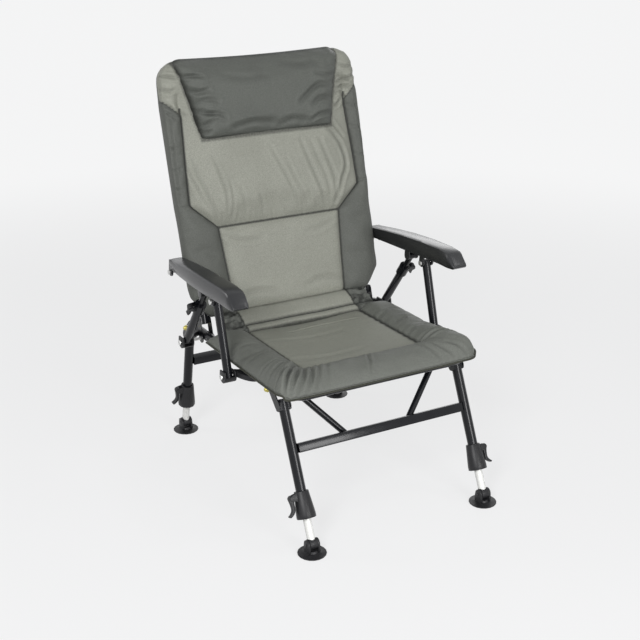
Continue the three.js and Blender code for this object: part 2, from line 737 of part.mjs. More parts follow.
function addBackBar() {
  const reach = sideReach - backTubeDiameter / 2 - fitGap;
  const bar = roundTube(backBarDiameter / 2, -reach, reach, frameSides).rotateY(Math.PI / 2);
  const mesh = piece('back_cross_bar', bar, 'blackTube');
  mesh.position.z = backBarDistance;
  backrest.add(mesh);
}

// Long bolt from the backrest tube out to the arm, with a spacer turned on it
function addArmBolts(sideName, side) {
  const cheek = postDiameter / 2 + sideGap + lugThickness + fitGap;
  const tubeFace = sideReach + backTubeDiameter / 2 + fitGap;
  const stud = boltGeometry(side * (sideReach - backTubeDiameter / 2 - fitGap), side * (linkReach + cheek));
  const spacer = rod(studSpacerDiameter / 2, side * tubeFace, side * (linkReach - cheek));
  chair.add(pieceAt(`arm_rear_bolt_${sideName}`, join(stud, spacer), 'zinc', armRearPivot));
  const short = boltGeometry(side * (linkReach - cheek), side * (linkReach + cheek));
  chair.add(pieceAt(`arm_front_bolt_${sideName}`, short, 'zinc', armFrontPivot));
}

// Post between its cup on the rail and the arm
function addPost(sideName, side) {
  const radius = postDiameter / 2;
  const post = new THREE.Group();
  post.position.copy(atSide(postFoot, side * linkReach));
  post.rotation.x = -radiansOf(backLeanAngle);
  chair.add(post);
  const tube = roundTube(radius, -postEndLength, linkLength + postEndLength);
  const bores = [0, linkLength].map((z) => boltBore(-radius - overrun, radius + overrun, 0, z));
  post.add(piece(`arm_post_${sideName}`, cut(tube, ...bores), 'blackTube'));
}

// Telescopic strut from the hinge bolt up to the arm

const strutRun = armStrutPivot.clone().sub(hinge);
const strutTilt = Math.atan2(-strutRun.y, strutRun.z);
const strutClampSize = {
  length: strutClampLength,
  innerBore: boreRadius(strutInnerDiameter / 2, tubeSides),
  outerBore: boreRadius(strutInnerDiameter / 2, tubeSides),
  seat: 0,
  topRadius: strutClampRadius,
  bottomRadius: strutClampRadius,
  pinReach: strutClampRadius + leverHeadRadius + leverHeadGap,
  pinDrop: strutPinDrop,
};

function addStrut(sideName, side) {
  const strut = new THREE.Group();
  strut.position.copy(atSide(hinge, side * linkReach));
  strut.rotation.x = strutTilt;
  chair.add(strut);
  const radius = strutDiameter / 2;
  const eye = rod(strutEyeRadius, -radius, radius, tubeSides);
  const bore = boltBore(-radius - overrun, radius + overrun);
  const clamp = camClampGeometry(strutClampSize).translate(0, 0, strutClampStart);
  const outer = cut(join(roundTube(radius, strutTubeStart, strutTubeLength), eye,
    side > 0 ? clamp : mirrored(clamp)), bore);
  strut.add(piece(`strut_tube_${sideName}`, outer, 'blackTube'));

  const lever = leverGeometry(strutLeverLength, strutLeverFlare);
  const place = new THREE.Vector3(
    side * strutClampSize.pinReach, 0, strutClampStart + strutClampLength - strutClampSize.pinDrop);
  strut.add(pieceAt(`strut_lever_${sideName}`, side > 0 ? lever : mirrored(lever), 'blackPlastic', place));

  const top = strutRun.length();
  const innerRadius = strutInnerDiameter / 2;
  const innerTube = roundTube(innerRadius, top - strutInnerLength, top - strutTubeStart);
  const innerEye = rod(strutEyeRadius, -radius, radius, tubeSides).translate(0, 0, top);
  const innerBore = boltBore(-radius - overrun, radius + overrun, 0, top);
  strut.add(piece(`strut_inner_${sideName}`, cut(join(innerTube, innerEye), innerBore), 'blackTube'));
}

// Armrests: hollow shells with ribs inside and lugs underneath, each in a frame
// that stands at its rear pivot and runs forward along -Y

const armReach = linkReachAlong() + armFrontOverhang;

// Distance between the two pivots under an arm
function linkReachAlong() {
  return armRearPivot.y - armFrontPivot.y;
}

function armSection(ahead) {
  const share = Math.min(Math.max(ahead / (armReach * armLevelShare), 0), 1);
  const thickness = THREE.MathUtils.lerp(armRearThickness, armFrontThickness, share);
  const halfWidth = THREE.MathUtils.lerp(armRearHalfWidth, armFrontHalfWidth, share);
  const middleShare = 4 * share * (1 - share);
  const bottom = armClearance + armRise * share;
  const top = bottom + thickness + armCrown * middleShare;
  const bulge = armBulge * middleShare;
  return { bottom, top, halfWidth: halfWidth + bulge, centre: armToeOut * (2 * share - 1) + bulge };
}

// Ring across the arm: flat below, leaning walls and a slightly domed top
function armRing(ahead, side, droop, narrowShare, lift, inset) {
  const section = armSection(ahead);
  const halfWidth = section.halfWidth * narrowShare - inset;
  const top = section.top - droop - inset;
  const bottom = inset > 0 ? section.bottom - overrun : section.bottom + lift;
  const centreX = side * section.centre;
  const otherHalf = armHalfShares.map(([across, upward]) => [-across, upward]).reverse();
  return [...armHalfShares, ...otherHalf].map(([across, upward]) => (
    new THREE.Vector3(centreX + halfWidth * across, -ahead, bottom + (top - bottom) * upward)));
}

function armSkin(side, inset) {
  const tail = armTailShares.map(([aheadShare, roundShare, narrowShare]) => (
    [-armRearOverhang * aheadShare, armRearThickness * roundShare, narrowShare, armRearThickness * roundShare]));
  const level = armLevelShares.map((share) => [armReach * share, 0, 1, 0]);
  const nose = armNoseShares.map(([aheadShare, droopShare, narrowShare, liftShare]) => (
    [armReach * aheadShare, armNoseDrop * droopShare, narrowShare, armNoseDrop * liftShare]));
  const stations = [...tail, ...level, ...nose];
  const used = inset > 0 ? stations.slice(1, -1) : stations;
  return loft(used.map(([ahead, droop, narrowShare, lift]) => (
    armRing(ahead, side, droop, narrowShare, lift, inset))));
}

function addArm(sideName, side) {
  const arm = new THREE.Group();
  arm.position.copy(atSide(armRearPivot, side * linkReach));
  chair.add(arm);
  const outside = armSkin(side, 0);
  const shell = cut(outside, armSkin(side, armWall));
  const ribs = ribShares.map((share) => {
    const ahead = armReach * share;
    const section = armSection(ahead);
    const slab = boxAt(-armFrontOverhang, armFrontOverhang, -ahead - armRibThickness / 2,
      -ahead + armRibThickness / 2, section.bottom + armRibInset, section.top);
    return common(outside, slab);
  });
  const lugInner = postDiameter / 2 + sideGap;
  const lugOuter = lugInner + lugThickness;
  const boltPlaces = [[0, 0], [linkReachAlong(), armFrontPivot.z - armRearPivot.z]];
  const lugs = [...boltPlaces, [linkLength, 0]].flatMap(([ahead, height]) => {
    const top = armSection(ahead).top - armWall / 2;
    const shape = new THREE.Shape();
    shape.absarc(-ahead, height, lugRadius, Math.PI, 2 * Math.PI);
    shape.lineTo(-ahead + lugRadius * lugTopShare, top);
    shape.lineTo(-ahead - lugRadius * lugTopShare, top);
    return [sidePlate(shape, -lugOuter, -lugInner), sidePlate(shape, lugInner, lugOuter)];
  });
  const bores = boltPlaces.flatMap(([ahead, height]) => [-1, 1].map((edge) => (
    boltBore(edge * (lugInner - overrun), edge * (lugOuter + overrun), -ahead, height))));
  const pin = rod(boltDiameter / 2, -lugOuter, lugOuter).translate(0, -linkLength, 0);
  arm.add(piece(`armrest_${sideName}`, join(cut(join(shell, ...ribs, ...lugs), ...bores), pin), 'armPlastic'));
}

// Cushions: closed bodies over a grid, their two faces given by one function

function cushionGeometry(columns, rows, faceAt) {
  const stride = columns + 1;
  const count = stride * (rows + 1);
  const positions = [];
  for (const isTop of [true, false]) {
    for (let j = 0; j <= rows; j += 1) {
      for (let i = 0; i <= columns; i += 1) {
        positions.push(...faceAt(i / columns, j / rows, isTop).toArray());
      }
    }
  }
  const indices = [];
  for (let j = 0; j < rows; j += 1) {
    for (let i = 0; i < columns; i += 1) {
      const a = j * stride + i;
      indices.push(a, a + 1, a + stride + 1, a, a + stride + 1, a + stride);
      indices.push(count + a, count + a + stride + 1, count + a + 1);
      indices.push(count + a, count + a + stride, count + a + stride + 1);
    }
  }
  const rim = [];
  for (let i = 0; i < columns; i += 1) rim.push(i);
  for (let j = 0; j < rows; j += 1) rim.push(j * stride + columns);
  for (let i = columns; i > 0; i -= 1) rim.push(rows * stride + i);
  for (let j = rows; j > 0; j -= 1) rim.push(j * stride);
  rim.forEach((point, i) => {
    const next = rim[(i + 1) % rim.length];
    indices.push(point, count + point, count + next, point, count + next, next);
  });
  const geometry = new THREE.BufferGeometry();
  geometry.setAttribute('position', new THREE.Float32BufferAttribute(positions, 3));
  geometry.setIndex(indices);
  geometry.computeVertexNormals();
  return geometry;
}

// 0 outside a zone, 1 inside it, easing over the given width at its edge
function easeIn(distance, width) {
  const share = Math.min(Math.max(distance / width, 0), 1);
  return Math.sin((share * Math.PI) / 2);
}

// 1 on a seam line, falling to 0 at half the seam's width beside it
function seamShare(distance) {
  return Math.cos((Math.min(Math.abs(distance) / seamWidth, 1) * Math.PI) / 2);
}

// Seat cushion lying on the rails, its middle sagging between them
function seatCushionFace(u, v, isTop) {
  const acrossShare = 2 * u - 1;
  const drawn = seatCornerDraw * (acrossShare ** 6) * ((1 - v) ** 4);
  const x = acrossShare * seatHalfWidth;
  const y = -seatFrontOverhang + v * seatCushionLength + drawn;
  const fromSide = seatHalfWidth - Math.abs(x);
  const fromFront = v * seatCushionLength;
  const inside = Math.min(fromSide, fromFront) - seatBolsterWidth;
  const edge = easeIn(Math.min(fromSide, fromFront), seatBolsterWidth / 2);
  const rearEdge = easeIn((1 - v) * seatCushionLength, seatCushionThickness);
  const sag = seatSag * easeIn(inside, seatBolsterWidth);
  const base = tubeRadius + padGap - sag;
  if (!isTop) {
    return new THREE.Vector3(x, y, base);
  }
  const bolster = seatBolsterRise * edge * (inside < 0 ? 1 - easeIn(inside + seamWidth, seamWidth) : 0);
  const panel = inside > 0 ? seatCrown * easeIn(inside, seatBolsterWidth) : 0;
  const seam = seamDepth * seamShare(inside);
  const thickness = seatHemThickness
    + (seatCushionThickness - seatHemThickness) * Math.min(edge, rearEdge) + bolster * rearEdge;
  return new THREE.Vector3(x, y, base + thickness + panel - Math.min(seam, thickness / 2));
}

// Back cushion in front of its tubes: two side strips and a seam across
function backCushionFace(u, v, isTop) {
  const run = backCushionEnd - backCushionStart;
  const height = backCushionStart + v * run;
  const fromArm = Math.abs(height - linkLength) - backArmReliefLength;
  const relief = (backHalfWidth - armSideReach + padArmGap) * (1 - easeIn(fromArm, backArmReliefLength));
  const low = backLowDraw * (1 - easeIn(v * run, backLowDrawLength));
  const halfWidth = backHalfWidth - relief - low - backTopDraw * v ** backTopPower;
  const x = (2 * u - 1) * halfWidth;
  const face = -backTubeDiameter / 2 - padGap;
  const edge = Math.min(easeIn(halfWidth - Math.abs(x), backStripWidth / 2),
    easeIn(v * run, backStripWidth / 2), easeIn((1 - v) * run, backStripWidth / 2));
  if (!isTop) {
    return new THREE.Vector3(x, face, height);
  }
  const fromSeam = Math.min(
    Math.abs(halfWidth - Math.abs(x) - backStripWidth), Math.abs(height - backSeamDistance));
  const thickness = seatHemThickness + (backCushionThickness + backCrown - seatHemThickness) * edge;
  return new THREE.Vector3(x, face - thickness + seamDepth * seamShare(fromSeam) * edge, height);
}

// Headrest pillow on the front of the back cushion
function headrestFace(u, v, isTop) {
  const halfWidth = THREE.MathUtils.lerp(headrestBottomHalfWidth, headrestTopHalfWidth, v);
  const x = (2 * u - 1) * halfWidth;
  const bow = headrestRise * (1 - (2 * u - 1) ** 2) * (v - 1 / 2);
  const height = backFrameLength + headrestRise - headrestHeight * (1 - v) - headrestRise / 2 + bow;
  const face = -backTubeDiameter / 2 - 2 * padGap - backCushionThickness - backCrown;
  const edge = Math.min(easeIn(halfWidth - Math.abs(x), headrestHeight / 3),
    easeIn(v * headrestHeight, headrestHeight / 3), easeIn((1 - v) * headrestHeight, headrestHeight / 3));
  const thickness = seatHemThickness + (headrestThickness - seatHemThickness) * edge;
  return new THREE.Vector3(x, isTop ? face - thickness : face, height);
}

seatFrame.add(piece('seat_pad', cushionGeometry(cushionColumns, cushionRows, seatCushionFace), 'khaki'));
backrest.add(piece('back_pad', cushionGeometry(cushionColumns, cushionRows, backCushionFace), 'khaki'));
backrest.add(piece('headrest', cushionGeometry(headrestColumns, headrestRows, headrestFace), 'darkCloth'));

for (const [sideName, side] of Object.entries(sides)) {
  addSeatTubes(sideName, side);
  addBrackets(sideName, side);
  addSeatBolts(sideName, side);
  const front = addLeg('front', sideName, side);
  addFrontBrace(sideName, side, front.leg, front.pivot);
  addLeg('rear', sideName, side);
  addBackTube(sideName, side);
  addArmBolts(sideName, side);
  addPost(sideName, side);
  addStrut(sideName, side);
  addArm(sideName, side);
}
addCrossbar('front');
addCrossbar('rear');
addBackBar();

export default chair;
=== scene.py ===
"""Looks of a carp fishing chair: painted tubes, moulded arms and clamps, padded cloth."""
import json
import math

import bmesh
import bpy
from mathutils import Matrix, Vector, kdtree, noise


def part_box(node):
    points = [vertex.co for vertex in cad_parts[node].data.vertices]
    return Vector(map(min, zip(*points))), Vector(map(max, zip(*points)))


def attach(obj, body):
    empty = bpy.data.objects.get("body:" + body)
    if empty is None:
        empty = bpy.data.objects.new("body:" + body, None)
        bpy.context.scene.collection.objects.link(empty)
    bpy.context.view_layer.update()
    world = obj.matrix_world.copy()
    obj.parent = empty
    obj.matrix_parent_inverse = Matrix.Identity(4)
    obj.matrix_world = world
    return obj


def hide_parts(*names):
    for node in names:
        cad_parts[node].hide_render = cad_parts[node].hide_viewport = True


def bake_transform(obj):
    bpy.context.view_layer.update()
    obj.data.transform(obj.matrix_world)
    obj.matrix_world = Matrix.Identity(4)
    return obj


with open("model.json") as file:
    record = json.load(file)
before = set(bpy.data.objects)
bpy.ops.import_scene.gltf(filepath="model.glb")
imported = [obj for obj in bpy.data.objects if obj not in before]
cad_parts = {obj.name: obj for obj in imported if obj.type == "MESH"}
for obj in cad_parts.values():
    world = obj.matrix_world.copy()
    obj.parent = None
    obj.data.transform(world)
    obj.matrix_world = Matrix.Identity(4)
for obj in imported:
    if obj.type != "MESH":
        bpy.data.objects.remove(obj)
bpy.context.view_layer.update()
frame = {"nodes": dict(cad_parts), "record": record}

# Places taken from the frame, in metres

HINGE = sum(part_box("hinge_bolt_left"), Vector()) / 2
HINGE.x = 0
ARM_PIVOT = sum(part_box("arm_front_bolt_left"), Vector()) / 2
POST_FOOT = sum(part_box("post_bolt_left"), Vector()) / 2
BACK_UP = Vector((0, ARM_PIVOT.y - POST_FOOT.y, ARM_PIVOT.z - POST_FOOT.z)).normalized()
BACK_FORWARD = Vector((0, -BACK_UP.z, BACK_UP.y))
BACK_TUBE = 0.011
RAIL_TUBE = 0.0125
RAIL_REACH = 0.246
FRONT_BAR = Vector((0, -0.275, 0.36))
SEAT_FALL = math.tan(math.radians(1.4))

MM = 0.001


def on_back(x, up, forward):
    """A point of the backrest: across, up from the hinge and forward of the tubes."""
    return HINGE + Vector((x, 0, 0)) + BACK_UP * up + BACK_FORWARD * forward


def flat_on_back(point):
    """Across and up from the hinge along the backrest."""
    return point.x, (point - HINGE).dot(BACK_UP)


def rail_height(y):
    """Height of the rails' centre line."""
    return FRONT_BAR.z - SEAT_FALL * (y - FRONT_BAR.y)


def ease(value, low, high):
    """0 below low, 1 above high and smooth between them."""
    share = min(max((value - low) / (high - low), 0), 1)
    return share * share * (3 - 2 * share)


def along(value, stops):
    """Straight-line interpolation through (place, value) stops."""
    if value <= stops[0][0]:
        return stops[0][1]
    for (low, first), (high, last) in zip(stops, stops[1:]):
        if value <= high:
            return first + (last - first) * (value - low) / (high - low)
    return stops[-1][1]


# Materials


class Signal:
    """A socket that adds Math nodes when it is used in an expression."""

    def __init__(self, finish, socket):
        self.finish = finish
        self.socket = socket

    def _math(self, operation, first, second=None):
        values = {i: v for i, v in enumerate((first, second)) if v is not None}
        return self.finish.node("ShaderNodeMath", {"operation": operation}, values)

    def __add__(self, other):
        return self._math("ADD", self, other)

    __radd__ = __add__

    def __sub__(self, other):
        return self._math("SUBTRACT", self, other)

    def __rsub__(self, other):
        return self._math("SUBTRACT", other, self)

    def __mul__(self, other):
        return self._math("MULTIPLY", self, other)

    __rmul__ = __mul__

    def abs(self):
        return self._math("ABSOLUTE", self)

    def sine(self):
        return self._math("SINE", self)

    def most(self, other):
        return self._math("MAXIMUM", self, other)

    def rise(self, low, high):
        """0 below low and 1 above high."""
        settings = {"interpolation_type": "SMOOTHSTEP"}
        return self.finish.node("ShaderNodeMapRange", settings, {0: self, 1: low, 2: high})


class Finish:
    """A material, with one method that adds nodes to it."""

    def __init__(self, name, roughness, metallic=0.0, sheen=0.0, coat=0.0):
        self.material = bpy.data.materials.new(name)
        self.material.use_nodes = True
        self.tree = self.material.node_tree
        self.shader = self.tree.nodes["Principled BSDF"]
        self.shader.inputs["Roughness"].default_value = roughness
        self.shader.inputs["Metallic"].default_value = metallic
        self.shader.inputs["Sheen Weight"].default_value = sheen
        self.shader.inputs["Coat Weight"].default_value = coat

    def node(self, kind, settings, sockets, output=0):
        made = self.tree.nodes.new(kind)
        for name, value in settings.items():
            setattr(made, name, value)
        for key, value in sockets.items():
            self.feed(made.inputs[key], value)
        return Signal(self, made.outputs[output])

    def feed(self, socket, value):
        if isinstance(value, Signal):
            self.tree.links.new(value.socket, socket)
        elif isinstance(value, tuple) and socket.type == "RGBA":
            socket.default_value = (*value, 1)
        else:
            socket.default_value = value

    def place(self):
        return self.node("ShaderNodeTexCoord", {}, {}, "Object")

    def stored(self, name):
        settings = {"attribute_name": name, "attribute_type": "GEOMETRY"}
        return self.node("ShaderNodeAttribute", settings, {}, "Fac")

    def noise(self, vector, scale, detail=3.0, roughness=0.5):
        sockets = {"Vector": vector, "Scale": scale, "Detail": detail, "Roughness": roughness}
        return self.node("ShaderNodeTexNoise", {}, sockets)

    def stretch(self, vector, scale):
        return self.node("ShaderNodeMapping", {}, {"Vector": vector, "Scale": scale})

    def mix(self, share, first, second):
        made = self.tree.nodes.new("ShaderNodeMix")
        made.data_type = "RGBA"
        for key, value in ((0, share), (6, first), (7, second)):
            self.feed(made.inputs[key], value)
        return Signal(self, made.outputs[2])

    def parts(self, vector):
        """The three numbers of a vector."""
        made = self.node("ShaderNodeSeparateXYZ", {}, {0: vector})
        return [Signal(self, output) for output in made.socket.node.outputs]

    def finish(self, colour=None, roughness=None, bump=None, depth=0.001, strength=1.0):
        if colour is not None:
            self.feed(self.shader.inputs["Base Color"], colour)
        if roughness is not None:
            self.feed(self.shader.inputs["Roughness"], roughness)
        if bump is not None:
            sockets = {"Height": bump, "Distance": depth, "Strength": strength}
            self.feed(self.shader.inputs["Normal"], self.node("ShaderNodeBump", {}, sockets))
        return self.material


# Each finish mottles between its two colours
PAINT = ((0.004, 0.0045, 0.006), (0.009, 0.0095, 0.012))
BLACK_PLASTIC = ((0.008, 0.008, 0.009), (0.018, 0.018, 0.020))
COLLAR_PLASTIC = ((0.009, 0.009, 0.010), (0.020, 0.020, 0.022))
ARM_PLASTIC = ((0.007, 0.0075, 0.009), (0.015, 0.016, 0.018))
OFF_WHITE = ((0.90, 0.90, 0.88), (0.80, 0.80, 0.77))
BRIGHT_ZINC = ((0.50, 0.50, 0.50), (0.74, 0.74, 0.72))
YELLOW_ZINC = ((0.42, 0.36, 0.08), (0.62, 0.56, 0.20))


def painted_tube():
    made = Finish("satin_black_paint", 0.24, coat=0.12)
    made.shader.inputs["Coat Roughness"].default_value = 0.1
    made.shader.inputs["Specular IOR Level"].default_value = 0.22
    place = made.place()
    mottle = made.noise(place, 35, 4)
    grain = made.noise(place, 900, 2)
    roughness = 0.17 + 0.16 * mottle
    return made.finish(made.mix(mottle, *PAINT), roughness, grain, depth=0.0002, strength=0.15)


# Small pits in rows down the middle of the leg collars, darkened with painted shade
PIT_PITCH = 0.0022
PIT_TURN = math.pi / PIT_PITCH
PIT_BAND = (0.0055, 0.0065)
PIT_PAINTED_SHADE = (0.004, 0.004, 0.004)


def moulded_plastic(name, colours, roughness, strength, grain_scale=700, coat=0.0, pitted=False):
    """Grained plastic; a pitted one has the pits of the leg collars."""
    made = Finish(name, roughness, coat=coat)
    made.shader.inputs["Coat Roughness"].default_value = 0.2
    made.shader.inputs["Specular IOR Level"].default_value = 0.35
    place = made.place()
    mottle = made.noise(place, 14, 4)
    grain = made.noise(place, grain_scale, 3, 0.6)
    colour = made.mix(mottle, *colours)
    height = grain
    if pitted:
        x, y, z = made.parts(place)
        from_middle = x.abs() - RAIL_REACH
        band = 1 - from_middle.abs().rise(*PIT_BAND)
        dots = (from_middle * PIT_TURN).sine() * (z * PIT_TURN).sine()
        pits = dots.rise(0.1, 0.6) * band
        height = grain * 0.25 - pits
        # painted shade in the pits
        colour = made.mix(pits, colour, PIT_PAINTED_SHADE)
    varied = roughness - 0.08 + 0.16 * mottle
    return made.finish(colour, varied, height, depth=0.0003, strength=strength)


def white_tube():
    made = Finish("off_white_tube", 0.3, metallic=0.1)
    lengthways = made.stretch(made.place(), (60, 60, 3))
    streak = made.noise(lengthways, 9, 4)
    roughness = 0.3 + 0.15 * streak
    return made.finish(made.mix(streak, *OFF_WHITE), roughness, streak, depth=0.0001, strength=0.1)


def zinc_bolt(name, colours):
    made = Finish(name, 0.3, metallic=0.95)
    mottle = made.noise(made.place(), 160, 4)
    roughness = 0.22 + 0.25 * mottle
    return made.finish(made.mix(mottle, *colours), roughness, mottle, depth=0.0002, strength=0.2)


BACK_KHAKI = (0.276, 0.281, 0.242)
BACK_DARK = (0.103, 0.108, 0.097)
# the back's cloth again on the seat: light cloth darker with painted shade, dark cloth paler with
# painted light
SEAT_KHAKI_SHADED = (0.250, 0.256, 0.219)
SEAT_DARK_LIT = (0.142, 0.149, 0.133)
HEADREST_CLOTH = (0.101, 0.107, 0.096)
PIPING_CLOTH = (0.30, 0.30, 0.19)
# the dark of seam lines and of painted shade in folds, rims, valleys and round the pillow
SEAM_AND_PAINTED_SHADE = (0.014, 0.015, 0.013)
RIB = 2 * math.pi / 0.0024
WARP = 2 * math.pi / 0.0018
# The ribs run on over faces that slant forwards
RIB_SLANT = 0.8
# How far from a seam line, or from a rim, valley or pillow edge with painted shade, the darkening
# is full and where it ends
SEAM_CORE = 0.0014
SEAM_EDGE = 0.0062
PUCKER_REACH = 0.016
# how far painted shade darkens the deepest fold grooves
PAINTED_FOLD_SHADE = 0.42


def woven_cloth(name, light, dark=None):
    """Ribbed weave. Attributes of the piece say where it turns dark, where its seams run and where
    shade is painted along seams and rims, and where its folds are deep and painted darker."""
    made = Finish(name, 0.6, sheen=0.04)
    made.shader.inputs["Sheen Roughness"].default_value = 0.4
    made.shader.inputs["Specular IOR Level"].default_value = 0.3
    place = made.place()
    x, y, z = made.parts(place)
    heather = made.noise(place, 420, 4, 0.7)
    drift = made.noise(place, 130, 2) * 9
    rib = ((z + y * RIB_SLANT) * RIB + drift).sine()
    warp = (x * WARP + drift).sine()
    weave = rib * 0.25 + rib * warp * 0.25 + 0.5
    cloud = made.noise(place, 8, 4)
    base = light
    if dark is not None:
        base = made.mix(made.stored("dark_reach").rise(-0.0004, 0.0004), light, dark)
    deep = made.node("ShaderNodeHueSaturation", {}, {"Value": 0.66, "Color": base})
    pale = made.node("ShaderNodeHueSaturation", {}, {"Value": 1.30, "Color": base})
    colour = made.mix((heather * 0.7 + weave * 0.3).rise(0.25, 0.72), deep, pale)
    colour = made.mix(cloud.rise(0.35, 0.75) * 0.22, colour, deep)
    # distance to stitched seams, and also to rims, roll valleys and pillow edges where shade is
    # painted
    reach = made.stored("seam_and_shade_reach").abs()
    pucker = made.noise(place, 150, 2) * (1 - reach.rise(0, PUCKER_REACH))
    seam = 1 - (reach + 0.0022 * made.noise(place, 240, 2)).rise(SEAM_CORE, SEAM_EDGE)
    # painted shade in the grooves of the pressed folds
    colour = made.mix(made.stored("fold_depth") * PAINTED_FOLD_SHADE, colour, SEAM_AND_PAINTED_SHADE)
    # seam lines darkened: partly stitching, partly painted shade
    colour = made.mix(seam * 0.92, colour, SEAM_AND_PAINTED_SHADE)
    height = weave * 0.35 + heather * 0.5 + pucker * 2.2 - seam * 1.2
    return made.finish(colour, 0.48 + 0.2 * heather, height, depth=0.0007, strength=0.6)


# Making pieces


def shown(name, mesh, body, material):
    piece = bpy.data.objects.new(name, mesh)
    bpy.context.scene.collection.objects.link(piece)
    piece.data.materials.clear()
    piece.data.materials.append(material)
    if body:
        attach(piece, body)
    return piece


def body_of(node):
    """The record's body that holds a node."""
    groups = frame["record"]["behaviour"]["bodies"]
    return next(body for body, members in groups.items() if node in members)


def slot_of(node):
    """The record's material slot of a node."""
    return next(s["material_slot"] for s in frame["record"]["subparts"] if s["node"] == node)


def mesh_from(bm, name):
    mesh = bpy.data.meshes.new(name)
    bm.to_mesh(mesh)
    bm.free()
    return mesh


def smooth_by_angle(bm, degrees):
    """Smooth shading with sharp edges where faces meet at more than the angle."""
    limit = math.radians(degrees)
    for face in bm.faces:
        face.smooth = True
    for edge in bm.edges:
        edge.smooth = len(edge.link_faces) == 2 and edge.calc_face_angle(0) < limit


MIDDLE_GAP = 0.0002


def refined(node, material, angle=38, bevel=0.0):
    """A smooth-shaded copy of a rigid node with its sharp edges rounded."""
    bm = bmesh.new()
    bm.from_mesh(frame["nodes"][node].data)
    for vert in bm.verts:
        # the halves of a bent tube meet in the middle
        if abs(vert.co.x) < MIDDLE_GAP:
            vert.co.x = 0
    bmesh.ops.remove_doubles(bm, verts=bm.verts, dist=0.00002)
    bmesh.ops.dissolve_limit(bm, angle_limit=math.radians(0.5), verts=bm.verts, edges=bm.edges)
    if bevel:
        limit = math.radians(angle)
        sharp = [e for e in bm.edges if len(e.link_faces) == 2 and e.calc_face_angle(0) > limit]
        bmesh.ops.bevel(bm, geom=sharp, offset=bevel, offset_type="OFFSET", segments=2, profile=0.5,
                        affect="EDGES", clamp_overlap=True, material=-1)
    bmesh.ops.triangulate(bm, faces=[f for f in bm.faces if len(f.verts) > 4])
    smooth_by_angle(bm, angle)
    piece = shown(f"{node}_finished", mesh_from(bm, node), body_of(node), material)
    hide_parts(node)
    return piece


SMOOTH_ANGLE = 40


def turned_out(bm, sign, place):
    """Turns a piece that was made along z to point out along x, and moves it to its place."""
    turn = Vector((0, 0, 1)).rotation_difference(Vector((sign, 0, 0))).to_matrix()
    bmesh.ops.rotate(bm, verts=bm.verts, cent=(0, 0, 0), matrix=turn)
    bmesh.ops.translate(bm, verts=bm.verts, vec=place)
    smooth_by_angle(bm, SMOOTH_ANGLE)


NUT_RADIUS = 0.0075
NUT_HEIGHT = 0.006
DOME_RADIUS = 0.0060
DOME_RISE = 0.0032
NUT_STAND = 0.0015


def cap_nut(node, material):
    """A domed nut over the outer end of a pivot bolt."""
    low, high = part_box(node)
    sign = 1 if low.x + high.x > 0 else -1
    middle = (low + high) / 2
    end = max(abs(low.x), abs(high.x))
    bm = bmesh.new()
    bmesh.ops.create_cone(bm, cap_ends=True, segments=6, radius1=NUT_RADIUS, radius2=NUT_RADIUS,
                          depth=NUT_HEIGHT)
    bmesh.ops.bevel(bm, geom=bm.edges[:], offset=0.0004, segments=1, profile=0.5, affect="EDGES",
                    material=-1)
    dome = bmesh.ops.create_uvsphere(bm, u_segments=20, v_segments=12, radius=DOME_RADIUS)["verts"]
    bmesh.ops.translate(bm, verts=dome, vec=(0, 0, DOME_RISE))
    turned_out(bm, sign, (sign * (end + NUT_STAND), middle.y, middle.z))
    name = f"{node}_nut"
    return shown(name, mesh_from(bm, name), body_of(node), material)


ANKLE_TOP = 0.012
ANKLE_RADIUS = 0.0135
ANKLE_WIDTH = 0.0198


def ankle(end, side, material):
    """The black knuckle on the lower end of a leg's inner tube, round about the foot's pin."""
    low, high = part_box(f"{end}_foot_{side}")
    middle = (low + high) / 2
    bm = bmesh.new()
    bmesh.ops.create_cone(bm, cap_ends=True, segments=40, radius1=ANKLE_RADIUS,
                          radius2=ANKLE_RADIUS, depth=ANKLE_WIDTH)
    ends = [e for e in bm.edges if abs(abs(e.verts[0].co.z) - ANKLE_WIDTH / 2) < 1e-6
            and abs(e.verts[0].co.z - e.verts[1].co.z) < 1e-6]
    bmesh.ops.bevel(bm, geom=ends, offset=0.001, segments=2, profile=0.5, affect="EDGES",
                    material=-1)
    turned_out(bm, 1, (middle.x, middle.y, high.z - ANKLE_TOP))
    name = f"{end}_ankle_{side}"
    return shown(name, mesh_from(bm, name), f"{end}_extension_{side}", material)


# A dark reach for the plain dark cloth on the rear of every cushion
BACKING = 0.01

# Soft pieces are closed shells over a grid. Each vertex keeps its two grid shares and
# whether it is on the front face, so that shape, seams and colours share one layout.


def grid_shell(name, columns, rows, place):
    bm = bmesh.new()
    layers = [bm.verts.layers.float.new(label) for label in ("share_u", "share_v", "front")]
    bmesh.ops.create_grid(bm, x_segments=columns, y_segments=rows, size=0.5)
    for vert in bm.verts:
        vert[layers[0]] = vert.co.x + 0.5
        vert[layers[1]] = vert.co.y + 0.5
        vert[layers[2]] = 1
    copied = bmesh.ops.duplicate(bm, geom=bm.verts[:] + bm.edges[:] + bm.faces[:])["geom"]
    for item in copied:
        if isinstance(item, bmesh.types.BMVert):
            item[layers[2]] = 0
            item.co.z -= 0.1
    bmesh.ops.reverse_faces(bm, faces=[f for f in copied if isinstance(f, bmesh.types.BMFace)])
    rim = [e for e in bm.edges if len(e.link_faces) == 1]
    bmesh.ops.bridge_loops(bm, edges=rim)
    for vert in bm.verts:
        vert.co = place(vert[layers[0]], vert[layers[1]], vert[layers[2]] > 0.5)
    bmesh.ops.recalc_face_normals(bm, faces=bm.faces)
    for face in bm.faces:
        face.smooth = True
    return mesh_from(bm, name)


def store(mesh, name, values):
    attribute = mesh.attributes.get(name) or mesh.attributes.new(name, "FLOAT", "POINT")
    attribute.data.foreach_set("value", values)


